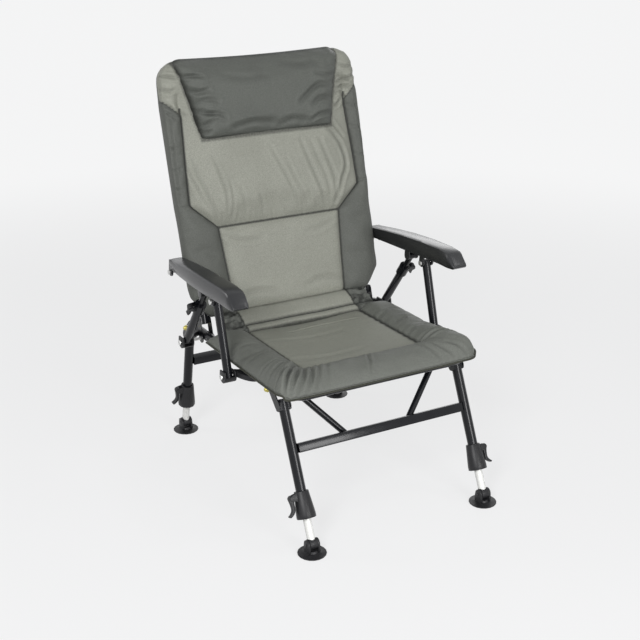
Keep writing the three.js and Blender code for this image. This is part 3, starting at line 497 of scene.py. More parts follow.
def shares_of(mesh):
    columns = []
    for label in ("share_u", "share_v", "front"):
        values = [0.0] * len(mesh.vertices)
        mesh.attributes[label].data.foreach_get("value", values)
        columns.append(values)
    return list(zip(*columns))


def evaluated(piece):
    """The piece as its modifiers leave it."""
    return piece.evaluated_get(bpy.context.evaluated_depsgraph_get())


SIDEWAYS_SHARE = 0.3
EASING_PASSES = 3


def inflate(piece, held, pressure, growth, cap, out, frames=16):
    """Puffs a padded piece up by cloth simulation. Held vertices stay, no point moves past cap, and
    most of the movement along the face is left out, so that the outline stays straight."""
    mesh = piece.data
    rest = [v.co.copy() for v in mesh.vertices]
    group = piece.vertex_groups.new(name="sewn")
    for index, hold in enumerate(held):
        if hold > 0:
            group.add([index], hold, "REPLACE")
    cloth = piece.modifiers.new("puff", "CLOTH")
    settings = cloth.settings
    settings.vertex_group_mass = group.name
    settings.quality = 6
    settings.mass = 0.25
    settings.tension_stiffness = 12
    settings.compression_stiffness = 8
    settings.shear_stiffness = 4
    settings.bending_stiffness = 2.0
    settings.use_pressure = True
    settings.uniform_pressure_force = pressure
    settings.shrink_min = -growth
    settings.effector_weights.gravity = 0
    scene = bpy.context.scene
    cloth.point_cache.frame_start = 1
    cloth.point_cache.frame_end = frames
    for number in range(1, frames + 1):
        scene.frame_set(number)
    moved = [v.co.copy() for v in evaluated(piece).to_mesh().vertices]
    evaluated(piece).to_mesh_clear()
    piece.modifiers.remove(cloth)
    scene.frame_set(1)
    for vert, start, end in zip(mesh.vertices, rest, moved):
        step = end - start
        outward = out * step.dot(out)
        step = outward + (step - outward) * SIDEWAYS_SHARE
        if step.length > cap:
            step *= cap / step.length
        vert.co = start + step
    piece.vertex_groups.clear()
    bm = bmesh.new()
    bm.from_mesh(mesh)
    bm.verts.ensure_lookup_table()
    free = [bm.verts[index] for index, hold in enumerate(held) if hold < 1]
    for _ in range(EASING_PASSES):
        bmesh.ops.smooth_vert(bm, verts=free, factor=0.5, use_axis_x=True, use_axis_y=True,
                              use_axis_z=True)
    bm.to_mesh(mesh)
    bm.free()


def subdivide(piece):
    """One applied level of subdivision."""
    modifier = piece.modifiers.new("smooth", "SUBSURF")
    modifier.levels = modifier.render_levels = 1
    made = bpy.data.meshes.new_from_object(evaluated(piece))
    piece.modifiers.remove(modifier)
    piece.data = made


def curve_through(points, step):
    """Places every step along a smooth curve through points."""
    ends = [points[0], *points, points[-1]]
    path = []
    for before, start, end, after in zip(ends, ends[1:], ends[2:], ends[3:]):
        count = max(2, round(math.dist(start, end) / step))
        for number in range(count):
            t = number / count
            path.append([0.5 * (2 * q + (r - p) * t + (2 * p - 5 * q + 4 * r - s) * t ** 2
                                + (3 * q - p - 3 * r + s) * t ** 3)
                         for p, q, r, s in zip(before, start, end, after)])
    return path + [list(points[-1])]


PATH_STEP = 0.002
GROOVE = 1.3
RIDGE = 0.8
RIDGE_PLACE = 1.7
RIDGE_SHARPNESS = 1.6
FULL_FOLD = 0.0055
FOLD_START = 0.15


def crease(piece, lines, flat, out):
    """Presses creases into the front of a piece: a groove with a low ridge on both sides. A line
    is its depth, its width and its points in millimetres; flat turns a vertex into the same two
    measures, and out is the way the face looks."""
    mesh = piece.data
    front = [0.0] * len(mesh.vertices)
    mesh.attributes["front"].data.foreach_get("value", front)
    tree = kdtree.KDTree(len(front))
    for index, vert in enumerate(mesh.vertices):
        if front[index] > 0.9:
            tree.insert((*flat(vert.co), 0), index)
    tree.balance()
    lift = {}
    for depth, width, points in lines:
        path = curve_through([(x * MM, y * MM) for x, y in points], PATH_STEP)
        width *= MM
        nearest = {}
        for number, (x, y) in enumerate(path):
            share = number / (len(path) - 1)
            for _, index, distance in tree.find_range((x, y, 0), 3 * width):
                if distance < nearest.get(index, (1, 0))[0]:
                    nearest[index] = (distance, share)
        for index, (distance, share) in nearest.items():
            fade = math.sqrt(max(0, math.sin(math.pi * (0.04 + 0.92 * share))))
            groove = math.exp(-((distance / width) ** 2))
            ridge = math.exp(-((distance / width - RIDGE_PLACE) ** 2) * RIDGE_SHARPNESS)
            height = depth * MM * fade * (RIDGE * ridge - GROOVE * groove)
            lift[index] = lift.get(index, 0) + height
    # the depth of each groove is stored so that the cloth paints shade into it
    depths = [0.0] * len(mesh.vertices)
    for index, height in lift.items():
        mesh.vertices[index].co += out * height
        depths[index] = min(max(-height / FULL_FOLD - FOLD_START, 0), 1)
    store(mesh, "fold_depth", depths)


def gathered(share, amount):
    """A grid share with closer lines towards both ends."""
    return share - amount * math.sin(2 * math.pi * share)


def rounded(distance, radius):
    """0 at a rim and 1 from radius on, as a quarter circle."""
    share = min(max(distance / radius, 0), 1)
    return math.sqrt(1 - (1 - share) ** 2)


def corner_arc(side, end, radius):
    """How far a point of a rounded corner lies across and along from the centre of its arc, or
    None where the rim is straight."""
    across, lengthways = max(0, radius - side), max(0, radius - end)
    if across <= 0 or lengthways <= 0:
        return None
    shrink = max(across, lengthways) / math.hypot(across, lengthways)
    return across * shrink, lengthways * shrink


def trim(name, path, radius, body, material):
    """A round piping sewn along a path."""
    curve = bpy.data.curves.new(name, "CURVE")
    curve.dimensions = "3D"
    curve.bevel_depth = radius
    curve.bevel_resolution = 2
    curve.use_fill_caps = True
    line = curve.splines.new("POLY")
    line.points.add(len(path) - 1)
    for point, place in zip(line.points, path):
        point.co = (*place, 1)
    holder = bpy.data.objects.new(name, curve)
    bpy.context.scene.collection.objects.link(holder)
    mesh = bpy.data.meshes.new_from_object(evaluated(holder))
    bpy.data.objects.remove(holder)
    mesh.name = name
    return shown(name, mesh, body, material)


def fold(distance, length, run, pitch, seed):
    """Small gathers that fade away from a seam."""
    wander = noise.noise(Vector((run * 9, seed, 0))) * 2.4
    return math.exp(-distance / length) * math.sin(2 * math.pi * run / pitch + wander)


# Back cushion: a light centre, dark side strips that widen to hips, one seam across

BACK_LOW = 0.052
BACK_HIGH = 0.716
BACK_COLUMNS = 96
BACK_ROWS = 104
BACK_SEAM = 0.281
BACK_SEAM_SHARE = 36 / BACK_ROWS
HIP_TOP = 0.345
STRIP_TOP = 0.596
STRIP_TOP_SLOPE = 0.9
STRIP_MIDDLE = 0.262
BACK_CORNER = 0.045
STRIP_SHARE = 16 / BACK_COLUMNS
BACK_UNDERSIDE = BACK_TUBE + 0.0016
BACK_FULL = 0.026
BACK_CROWN = 0.004
BACK_WRAP = 0.014
UNDER_PILLOW = 0.007
VALLEY_REACH = 0.0075
STRIP_VALLEY_REACH = 0.006
VALLEY_DEPTH = 0.015
BACK_CREASES = (
    (4.4, 5, ((-288, 683), (-262, 676), (-243, 670))),
    (3.4, 5, ((-292, 652), (-268, 640), (-250, 641))),
    (2.6, 6, ((-298, 618), (-290, 606), (-276, 603), (-255, 586))),
    (2.2, 5, ((-250, 590), (-228, 573))),
    (3.2, 5, ((-290, 595), (-276, 588), (-256, 568))),
    (4.8, 5, ((222, 640), (257, 630), (282, 640))),
    (4.2, 5, ((214, 619), (238, 626), (268, 622))),
    (3.6, 5, ((206, 602), (242, 610), (262, 600))),
    (3.0, 4, ((205, 588), (228, 596), (240, 580))),
    (3.6, 5, ((199, 560), (212, 562), (228, 573))),
    (3.4, 5, ((232, 668), (256, 660), (280, 664))),
    (3.0, 6, ((178, 523), (217, 476))),
    (4.0, 7, ((168, 503), (185, 487), (200, 464), (211, 433), (213, 397), (192, 359), (172, 306))),
    (2.6, 6, ((-229, 470), (-222, 423), (-205, 369), (-192, 323), (-185, 290))),
    (1.8, 5, ((-236, 410), (-222, 366), (-200, 322))),
    (2.2, 5, ((-180, 474), (-168, 430), (-153, 370), (-154, 320))),
    (1.6, 5, ((-246, 440), (-232, 402), (-215, 360))),
    (1.5, 5, ((-140, 400), (-136, 350), (-142, 300))),
    (1.8, 5, ((-12, 474), (12, 420), (28, 382), (58, 304))),
    (1.3, 5, ((30, 440), (52, 380), (84, 312))),
    (2.4, 6, ((80, 480), (97, 424), (114, 374), (142, 290))),
    (1.8, 5, ((110, 476), (126, 424), (144, 372), (156, 300))),
    (2.8, 6, ((138, 476), (158, 410), (170, 361), (166, 290))),
    (1.2, 6, ((-112, 380), (-98, 318))),
    (1.0, 6, ((-60, 360), (-48, 306))),
    (1.4, 4, ((-170, 316), (-172, 286))),
    (1.2, 4, ((-124, 308), (-128, 286))),
    (1.2, 4, ((-86, 310), (-84, 286))),
    (1.2, 4, ((-24, 306), (-20, 286))),
    (1.2, 4, ((16, 308), (24, 286))),
    (1.4, 4, ((64, 312), (72, 286))),
    (1.4, 4, ((104, 316), (114, 286))),
    (1.8, 4, ((-274, 584), (-277, 470), (-280, 352))),
    (1.8, 4, ((272, 588), (277, 470), (280, 360))),
    (1.8, 5, ((-286, 495), (-256, 497))),
    (1.6, 4, ((-284, 440), (-262, 444))),
    (1.8, 4, ((-286, 395), (-264, 389))),
    (1.6, 4, ((-282, 342), (-254, 347))),
    (1.8, 4, ((248, 350), (278, 353))),
    (1.6, 4, ((252, 424), (280, 420))),
    (1.8, 5, ((246, 500), (280, 492))),
    (1.8, 5, ((240, 560), (278, 552))),
    (2.0, 8, ((-176, 262), (-120, 240), (-60, 236))),
    (1.6, 8, ((168, 262), (110, 240), (70, 238))),
    (1.8, 9, ((-166, 84), (-110, 100), (-40, 92))),
    (1.8, 9, ((166, 90), (100, 104), (50, 92))),
)


def back_half_width(up):
    stops = [(0.05, 0.232), (0.070, 0.252), (0.11, 0.281), (0.222, 0.283),
             (0.26, 0.283), (0.35, 0.284), (0.60, 0.285), (0.66, 0.282), (0.716, 0.275)]
    return along(up, stops)


def back_seam_reach(up):
    """How far from the middle the side seam lies."""
    stops = [(0.05, 0.166), (0.148, 0.171), (BACK_SEAM, 0.180), (HIP_TOP, 0.251), (0.44, 0.247),
             (0.52, 0.242), (0.57, 0.239), (0.60, 0.242), (0.72, 0.236)]
    return along(up, stops)


def strip_top(x):
    """The strips end in a line that rises outwards."""
    return STRIP_TOP + STRIP_TOP_SLOPE * (abs(x) - STRIP_MIDDLE)


def back_layout(u, v):
    up = along(v, [(0, BACK_LOW), (BACK_SEAM_SHARE, BACK_SEAM), (1, BACK_HIGH)])
    half, seam = back_half_width(up), back_seam_reach(up)
    x = along(u, [(0, -half), (STRIP_SHARE, -seam), (1 - STRIP_SHARE, seam), (1, half)])
    return x, up, half, seam


def back_valley(x, up, seam):
    """1 in a seam, which draws the cloth down, and 0 away from every seam."""
    seam_gap = abs(abs(x) - seam)
    across_gap = abs(up - BACK_SEAM) if abs(x) < seam else 1
    strip_gap = abs(up - strip_top(x)) if abs(x) > seam else 1
    return max(math.exp(-seam_gap / VALLEY_REACH) * ease(0.66 - up, 0, 0.05),
               math.exp(-across_gap / VALLEY_REACH),
               0.6 * math.exp(-strip_gap / STRIP_VALLEY_REACH))


def back_gathers(x, up, seam):
    """Gathers along the seams, long waves in the upper panel and short ones in the dark cloth."""
    seam_gap = abs(abs(x) - seam)
    across_gap = abs(up - BACK_SEAM) if abs(x) < seam else 1
    above = ease(up, BACK_SEAM - 0.001, BACK_SEAM + 0.002)
    gathers = 0.0016 * fold(seam_gap, 0.022, up, 0.017, 3.1) * ease(up, BACK_SEAM, 0.33)
    gathers += 0.0012 * fold(across_gap, 0.020, x, 0.019, 7.7) * above
    in_panel = ease(seam - abs(x), 0.002, 0.03) * ease(0.52 - up, 0, 0.04)
    upper = ease(up, BACK_SEAM, BACK_SEAM + 0.04)
    gathers += 0.0022 * in_panel * upper * noise.noise(Vector((x * 17 + up * 3, up * 3.2, 2.2)))
    gathers += 0.0016 * in_panel * (1 - upper) * noise.noise(Vector((x * 9, up * 9, 5.1)))
    gathers += 0.0024 * (1 - in_panel) * noise.noise(Vector((x * 6, up * 26, 8.4)))
    return gathers


def back_place(u, v, front):
    x, up, half, seam = back_layout(u, v)
    side = half - abs(x)
    edge = min(side, up - BACK_LOW, BACK_HIGH - up)
    arc = corner_arc(side, BACK_HIGH - up, BACK_CORNER)
    if arc:
        x = math.copysign(half - BACK_CORNER + arc[0], x)
        up = BACK_HIGH - BACK_CORNER + arc[1]
    if not front:
        wrap = (1 - ease(side, 0.012, 0.026)) * ease(up, 0.10, 0.14)
        return on_back(x, up, BACK_UNDERSIDE - BACK_WRAP * wrap)
    full = BACK_FULL * rounded(edge + 0.004, 0.034)
    full += BACK_CROWN * ease(seam - abs(x), 0, 0.1) * ease(up, BACK_SEAM, 0.4)
    under_pillow = ease(0.19 - abs(x), -0.01, 0.02) * ease(up, 0.512, 0.535)
    full -= UNDER_PILLOW * under_pillow
    valley = back_valley(x, up, seam)
    gathers = back_gathers(x, up, seam)
    drawn = VALLEY_DEPTH * valley * full / BACK_FULL
    forward = BACK_UNDERSIDE + 0.003 + full + gathers * (1 - valley) - drawn
    over = 1 - ease(BACK_HIGH - up, 0.002, 0.012)
    return on_back(x, up, forward - 0.010 * over)


def back_cushion(material):
    mesh = grid_shell("back_cushion", BACK_COLUMNS, BACK_ROWS, back_place)
    held, dark, seams = [], [], []
    for u, v, front in shares_of(mesh):
        x, up, half, seam = back_layout(u, v)
        across = abs(up - BACK_SEAM) if abs(x) < seam + 0.001 else 1
        gap = abs(abs(x) - seam) if up < STRIP_TOP else 1
        rim = min(half - abs(x), BACK_HIGH - up, up - BACK_LOW)
        calm = 0.7 if up < BACK_SEAM and abs(x) < seam else 0.0
        held.append(1.0 if front < 0.5 or min(gap, across) < 0.003 or rim < 0.004 else calm)
        dark.append(min(abs(x) - seam, strip_top(x) - up) if front > 0.5 else BACKING)
        end = abs(up - strip_top(x)) * 0.7 + 0.001 if abs(x) > seam else 1
        # painted shadow on the back round the pillow's lower and side rims
        under = pillow_gap(x, up) * 0.45 + 0.0016 if front > 0.5 else 1
        # also painted shade along the back's lower rim, above the roll
        seams.append(min(gap, across, end, under, (up - BACK_LOW) * 0.45))
    store(mesh, "dark_reach", dark)
    store(mesh, "seam_and_shade_reach", seams)
    piece = shown("back_cushion", mesh, None, material)
    inflate(piece, held, pressure=3.0, growth=0.018, cap=0.012, out=BACK_FORWARD)
    subdivide(piece)
    crease(piece, BACK_CREASES, flat_on_back, BACK_FORWARD)
    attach(piece, "backrest")
    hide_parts("back_pad")
    return piece


# Headrest pillow on the top of the back cushion

HEAD_LOW = 0.507
HEAD_HIGH = 0.720
HEAD_COLUMNS = 84
HEAD_ROWS = 44
HEAD_LEAN = 0.008
HEAD_THICK = 0.035
HEAD_LOW_CORNER = 0.016
HEAD_TOP_CORNER = 0.030
HEAD_HALVES = [(0, 0.189), (0.5, 0.212), (1, 0.243)]
HEAD_BASE = BACK_UNDERSIDE + 0.0235
HEAD_TOP_FALL = 0.021
HEAD_SAG = 0.005
HEAD_DIP = 0.007
HEAD_CREASES = (
    (3.8, 5, ((-246, 671), (-206, 669), (-180, 664))),
    (3.5, 6, ((-232, 640), (-200, 628), (-172, 632))),
    (4.3, 6, ((-226, 580), (-193, 577), (-168, 570))),
    (3.8, 6, ((-200, 568), (-160, 570), (-136, 560))),
    (3.2, 6, ((-214, 600), (-180, 606), (-150, 600))),
    (2.9, 6, ((-206, 540), (-176, 548))),
    (3.5, 5, ((-202, 527), (-180, 525))),
    (4.3, 7, ((84, 578), (109, 597), (130, 611), (149, 617), (178, 610))),
    (3.5, 6, ((118, 566), (144, 582), (180, 580))),
    (3.8, 6, ((112, 527), (140, 540), (174, 541))),
    (3.2, 6, ((140, 648), (176, 640), (206, 646))),
    (2.9, 8, ((-120, 530), (-60, 540), (0, 534))),
    (2.3, 8, ((20, 526), (60, 536), (100, 528))),
    (2.3, 10, ((-120, 660), (-60, 650), (0, 654))),
    (2.3, 10, ((40, 690), (100, 676), (150, 682))),
)


def head_layout(u, v):
    across, rise = gathered(u, 0.08), gathered(v, 0.07)
    half = along(rise, HEAD_HALVES)
    up = HEAD_LOW + (HEAD_HIGH - HEAD_LOW) * rise
    return (2 * across - 1) * half, up, half


def head_place(u, v, front):
    x, up, half = head_layout(u, v)
    side, low, high = half - abs(x), up - HEAD_LOW, HEAD_HIGH - up
    end, radius = (low, HEAD_LOW_CORNER) if low < high else (high, HEAD_TOP_CORNER)
    arc = corner_arc(side, end, radius)
    if arc:
        x = math.copysign(half - radius + arc[0], x)
        up = HEAD_LOW + radius - arc[1] if low < high else HEAD_HIGH - radius + arc[1]
    base = HEAD_BASE - HEAD_TOP_FALL * (1 - ease(high, -0.008, 0.028))
    sag = HEAD_SAG * math.cos(math.pi * x / (2 * half)) * ease(up, HEAD_LOW, HEAD_HIGH)
    if not front:
        return on_back(x - HEAD_LEAN, up - sag, base - 0.003)
    dip = HEAD_DIP * ease(low, 0.001, 0.012) * (1 - ease(low, 0.012, 0.06))
    puff = rounded(side, 0.034) * rounded(low, 0.036) * rounded(high + 0.004, 0.07)
    tuck = 0.004 * fold(side, 0.05, up, 0.042, 1.3) * ease(side, 0, 0.02)
    return on_back(x - HEAD_LEAN, up - sag - dip, base + 0.002 + (HEAD_THICK + tuck) * puff)


def pillow_gap(x, up):
    """How far a point of the back lies outside the pillow's lower and side rims."""
    half = along((up - HEAD_LOW) / (HEAD_HIGH - HEAD_LOW), HEAD_HALVES)
    return max(abs(x + HEAD_LEAN) - half, HEAD_LOW - up, 0)


def headrest(material):
    mesh = grid_shell("headrest_pillow", HEAD_COLUMNS, HEAD_ROWS, head_place)
    held, seams = [], []
    for u, v, front in shares_of(mesh):
        x, up, half = head_layout(u, v)
        rim = min(half - abs(x), up - HEAD_LOW, HEAD_HIGH - up)
        held.append(1.0 if front < 0.5 or rim < 0.003 else 0.0)
        # painted shade darkens the pillow towards its rims, widest at the lower and right rims
        lower_rim_shade = (up - HEAD_LOW) * 0.26
        seams.append(max(min(rim * 0.42, (half - x) * 0.3, lower_rim_shade), 0) + 0.0006)
    store(mesh, "seam_and_shade_reach", seams)
    piece = shown("headrest_pillow", mesh, None, material)
    inflate(piece, held, pressure=3.0, growth=0.02, cap=0.008, out=BACK_FORWARD)
    subdivide(piece)
    crease(piece, HEAD_CREASES, flat_on_back, BACK_FORWARD)
    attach(piece, "backrest")
    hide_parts("headrest")
    return piece


# Seat cushion: a flat light panel between a front bolster and two side bolsters,
# its hem turned down over the rails

SEAT_HALF = 0.279
SEAT_FRONT = -0.293
SEAT_REAR = 0.126
SEAT_DROP = 0.034
SEAT_COLUMNS = 92
SEAT_ROWS = 72
SEAT_CORNER = 0.040
SEAT_PROFILE_OUT = [(0, 0), (0.012, 0.002), (0.030, 0.011), (0.055, 0.030), (0.085, 0.056),
                    (0.115, 0.084), (0.137, 0.105), (0.145, 0.111), (1, 0.966)]
SEAT_PANEL_UP = [(0.145, 0.0070), (0.153, 0.0100), (0.18, 0.0105), (1, 0.0105)]
SEAT_FRONT_UP = [(0, -0.013), (0.012, -0.004), (0.030, 0.007), (0.055, 0.0165), (0.085, 0.0205),
                 (0.115, 0.0200), (0.137, 0.0135), *SEAT_PANEL_UP]
SEAT_SIDE_UP = [(0, -0.003), (0.012, 0.004), (0.030, 0.0135), (0.055, 0.0225), (0.085, 0.0265),
                (0.115, 0.0245), (0.137, 0.0150), *SEAT_PANEL_UP]
SIDE_FULL = 0.011
FRONT_FULL = 0.004
RIGHT_CORNER_FULL = 0.006
CORNER_CROWN = 0.006
PANEL_SAG = 0.006
HEM_TUCK = 0.009
SEAT_CREASES = (
    (6.0, 5, ((-184, -186), (-224, -232), (-266, -278))),
    (3.6, 5, ((-183, -198), (-222, -254), (-256, -288))),
    (3.6, 5, ((-168, -198), (-202, -256), (-232, -288))),
    (3.2, 5, ((-150, -196), (-180, -256), (-206, -288))),
    (2.6, 5, ((-132, -196), (-160, -252), (-182, -286))),
    (2.0, 6, ((-112, -194), (-132, -244), (-150, -282))),
    (3.6, 4, ((-191, -190), (-226, -219), (-276, -252))),
    (2.6, 5, ((-194, -176), (-240, -196), (-278, -214))),
    (2.2, 5, ((-190, -150), (-236, -158), (-276, -166))),
    (5.0, 4, ((168, -183), (216, -196), (262, -212), (280, -246))),
    (2.8, 5, ((168, -196), (202, -246), (240, -286))),
    (2.6, 5, ((150, -196), (176, -250), (204, -286))),
    (2.4, 5, ((172, -170), (222, -176), (274, -178))),
    (2.0, 6, ((126, -196), (146, -246), (166, -284))),
    (2.6, 4, ((4, -196), (-14, -236), (-34, -284))),
    (1.0, 8, ((172, -120), (214, -112), (272, -118))),
    (1.0, 8, ((168, -50), (216, -40), (274, -48))),
    (1.0, 8, ((166, 20), (214, 34), (272, 26))),
    (1.0, 8, ((-184, -90), (-230, -84), (-276, -92))),
    (1.0, 8, ((-178, -20), (-226, -8), (-274, -14))),
    (1.4, 12, ((-150, -120), (-60, -140), (40, -132))),
    (1.6, 4, ((-76, 62), (20, 72), (130, 60))),
    (1.0, 10, ((-140, 20), (-40, 6), (60, 14))),
)
HEM_PIPING = 0.0022
PIPING_STEPS = 60
PIPING_OUT = 0.0012
PIPING_RISE = 0.0015
HEM_STITCH = 0.008
CLOTH_SIDE = SEAT_HALF + SEAT_DROP
SEAT_STRIP = 0.145
STRIP_COLUMNS = 23
STRIP_ROWS = 22


def seat_layout(u, v):
    """Cloth distances from the side hem and from the front hem."""
    inner = 2 * CLOTH_SIDE - SEAT_STRIP
    edge = STRIP_COLUMNS / SEAT_COLUMNS
    a = along(u, [(0, 0), (edge, SEAT_STRIP), (1 - edge, inner), (1, 2 * CLOTH_SIDE)])
    length = SEAT_REAR - SEAT_FRONT + SEAT_DROP
    b = along(v, [(0, 0), (STRIP_ROWS / SEAT_ROWS, SEAT_STRIP), (1, length)])
    from_side = min(a, 2 * CLOTH_SIDE - a)
    return (-1 if a < CLOTH_SIDE else 1), from_side, b


def heap(from_side, from_front, place, spread):
    """1 at a place in from a front corner of the seat, and less all round it."""
    return math.exp(-((from_side - place) ** 2 + (from_front - place) ** 2) / spread)


def seat_height(sign, from_side, from_front, y):
    """How far the cloth's face stands above the rails."""
    near = min(from_side, from_front)
    at_side = ease(from_front - from_side, -0.03, 0.03)
    height = along(near, SEAT_FRONT_UP) * (1 - at_side) + along(near, SEAT_SIDE_UP) * at_side
    height += CORNER_CROWN * heap(from_side, from_front, 0.07, 0.0024)
    full = SIDE_FULL * ease(-0.05 - y, 0, 0.15) * at_side + FRONT_FULL * (1 - at_side)
    if sign > 0:
        full += RIGHT_CORNER_FULL * heap(from_side, from_front, 0.03, 0.0025)
    return height + full * ease(near, 0.006, 0.045) * (1 - ease(near, 0.10, 0.142))


def seat_place(u, v, front):
    sign, from_side, from_front = seat_layout(u, v)
    out_x, out_y = along(from_side, SEAT_PROFILE_OUT), along(from_front, SEAT_PROFILE_OUT)
    near = min(from_side, from_front)
    x, y = SEAT_HALF - out_x, SEAT_FRONT + out_y
    height = seat_height(sign, from_side, from_front, y)
    arc = corner_arc(out_x, out_y, SEAT_CORNER)
    if arc:
        x = SEAT_HALF - SEAT_CORNER + arc[0]
        y = SEAT_FRONT + SEAT_CORNER - arc[1]
    rear = SEAT_REAR - y
    top = rail_height(y) + RAIL_TUBE
    sag = PANEL_SAG * ease(near, 0.15, 0.30)
    if not front:
        tuck = 1 - ease(near, 0.022, 0.036)
        return Vector((sign * (x - HEM_TUCK * tuck), y + HEM_TUCK * tuck * (from_front < 0.036),
                       top + min(0.0012, height - 0.002) - sag + 0.001 * tuck))
    thick = height * (0.3 + 0.7 * rounded(rear + 0.002, 0.03)) if near > 0.03 else height
    spin = math.atan2(from_side + 0.01, from_front + 0.01)
    folds = 0.0022 * heap(from_side, from_front, 0.07, 0.0016) * math.sin(26 * spin)
    folds += 0.0010 * fold(abs(from_front - SEAT_STRIP), 0.03, x * sign, 0.023, 4.2) * (near > 0.05)
    folds += 0.0010 * fold(abs(from_side - SEAT_STRIP), 0.03, y, 0.027, 8.4) * (near > 0.05)
    return Vector((sign * x, y, top + thick + folds - sag + 0.0012))


def seat_cushion(material):
    mesh = grid_shell("seat_cushion", SEAT_COLUMNS, SEAT_ROWS, seat_place)
    held, dark, seams = [], [], []
    length = SEAT_REAR - SEAT_FRONT + SEAT_DROP
    for u, v, front in shares_of(mesh):
        sign, from_side, from_front = seat_layout(u, v)
        near = min(from_side, from_front)
        sewn = abs(near - SEAT_STRIP) < 0.003 or near < 0.020 or length - from_front < 0.004
        calm = 0.6 if near > SEAT_STRIP + 0.004 else 0.0
        held.append(1.0 if front < 0.5 or sewn else calm)
        dark.append(SEAT_STRIP - near if front > 0.5 else BACKING)
        # seam lines, the inner one widened into painted shade beside the bolsters, and the hem
        # stitching
        seams.append(min(abs(near - SEAT_STRIP) * 0.6, abs(near - HEM_STITCH) + 0.001))
    store(mesh, "dark_reach", dark)
    store(mesh, "seam_and_shade_reach", seams)
    piece = shown("seat_cushion", mesh, None, material)
    inflate(piece, held, pressure=3.0, growth=0.018, cap=0.008, out=Vector((0, 0, 1)))
    subdivide(piece)
    crease(piece, SEAT_CREASES, lambda point: (point.x, point.y), Vector((0, 0, 1)))
    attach(piece, "seat_frame")
    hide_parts("seat_pad")
    return piece


def seat_piping(material):
    """The pale edge that is sewn along the seat's hem."""
    steps = [number / PIPING_STEPS for number in range(PIPING_STEPS + 1)]
    path = [seat_place(0, v, True) for v in reversed(steps)]
    path += [seat_place(u, 0, True) for u in steps[1:]]
    path += [seat_place(1, v, True) for v in steps[1:]]
    middle = Vector((0, (SEAT_FRONT + SEAT_REAR) / 2, 0))
    for point in path:
        outward = (point - middle) * Vector((1, 1, 0))
        point += outward.normalized() * PIPING_OUT + Vector((0, 0, PIPING_RISE))
    return trim("seat_piping", path, HEM_PIPING, "seat_frame", material)


# Cloth that joins the seat to the back in two soft rolls

ROLL_HALF = 0.226
ROLL_START = Vector((0, 0.110, 0.3720))
ROLL_COLUMNS = 120
ROLL_ROWS = 33
ROLL_VALLEY = 10 / ROLL_ROWS
ROLL_END = on_back(0, BACK_LOW + 0.004, BACK_UNDERSIDE + 0.0115)
LOW_ROLL = 0.006
HIGH_ROLL = 0.0105
ROLL_LIGHT = 0.166
ROLL_TUCK = 0.009


def crumple(x, v):
    """The crushed folds of the pinched ends, also where painted shade darkens them."""
    return noise.noise(Vector((x * 75, v * 5, 9.5)))


def roll_place(u, v, front):
    x = (2 * u - 1) * ROLL_HALF
    path = ROLL_START.lerp(ROLL_END, v)
    dip = -0.004 * math.sin(math.pi * v)
    if not front:
        tucked = ROLL_TUCK * (1 - ease(v, 0, 0.12))
        return Vector((x, path.y, path.z + dip - 0.003 - tucked))
    side = 0.25 + 0.75 * rounded(ROLL_HALF - abs(x), 0.03)
    if v < ROLL_VALLEY:
        bulge = LOW_ROLL * math.sin(math.pi * v / ROLL_VALLEY) ** 0.6
    else:
        bulge = HIGH_ROLL * math.sin(math.pi * (v - ROLL_VALLEY) / (1.01 - ROLL_VALLEY)) ** 0.6
    height = 0.003 + bulge * side
    pinched = ease(abs(x), 0.160, 0.172)
    folds = 0.0016 * noise.noise(Vector((x * 18, v * 3, 5.5)))
    folds += 0.0030 * pinched * math.sin(v * 34 + 5 * noise.noise(Vector((x * 60, v * 4, 1.5))))
    folds += 0.0050 * pinched * crumple(x, v)
    return Vector((x, path.y - 0.25 * height, path.z + dip + height + folds))


def crease_roll(material):
    mesh = grid_shell("crease_roll", ROLL_COLUMNS, ROLL_ROWS, roll_place)
    dark, seams = [], []
    for u, v, front in shares_of(mesh):
        x = (2 * u - 1) * ROLL_HALF
        dark.append(abs(x) - ROLL_LIGHT if front > 0.5 else BACKING)
        # painted shade in the valley between the rolls and at both ends of the roll
        valleys = min(abs(v - ROLL_VALLEY) * 0.045, (v + 0.01) * 0.05, (1 - v) * 0.025)
        # painted shade in the crushed folds of the pinched ends
        creases = 0.0034 + 0.006 * crumple(x, v) if abs(x) > ROLL_LIGHT else 1
        seams.append(max(min(abs(abs(x) - ROLL_LIGHT) * 0.8, valleys, creases), 0) + 0.0006)
    store(mesh, "dark_reach", dark)
    store(mesh, "seam_and_shade_reach", seams)
    piece = shown("crease_roll", mesh, None, material)
    subdivide(piece)
    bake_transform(piece)
    return piece


# Stage: camera at the photograph's place, a pale floor and soft lamps


CAMERA_PLACE = (-1.4265, -2.5319, 1.5465)
CAMERA_LOOK = (0.4532, 0.8141, -0.3630)
CAMERA_LENS = 68.36
SKY = (0.95, 0.955, 0.965, 1)
SKY_LIGHT = 0.28
SKY_SEEN = 0.94
FLOOR_HALF = 12
FLOOR_GLOW = (0.925, 0.927, 0.93)
FLOOR_BOUNCE = (0.36, 0.36, 0.365)
FLOOR_SEEN = (0.86, 0.86, 0.87)
# A lamp's name, place, target, size and power
LAMPS = (
    ("key", (-2.8, -2.6, 2.7), (0.0, 0.0, 0.5), 1.3, 104),
    ("fill", (0.4, -3.7, 1.2), (0.0, 0.0, 0.5), 1.4, 68),
    ("glint", (1.5, -1.1, 2.9), (0.2, -0.1, 0.5), 0.6, 6),
    ("behind", (2.45, 3.0, 1.8), (0.0, 0.0, 0.4), 1.5, 15),
    ("left_edge", (-2.6, 1.8, 1.6), (0.0, 0.0, 0.5), 1.0, 12),
)


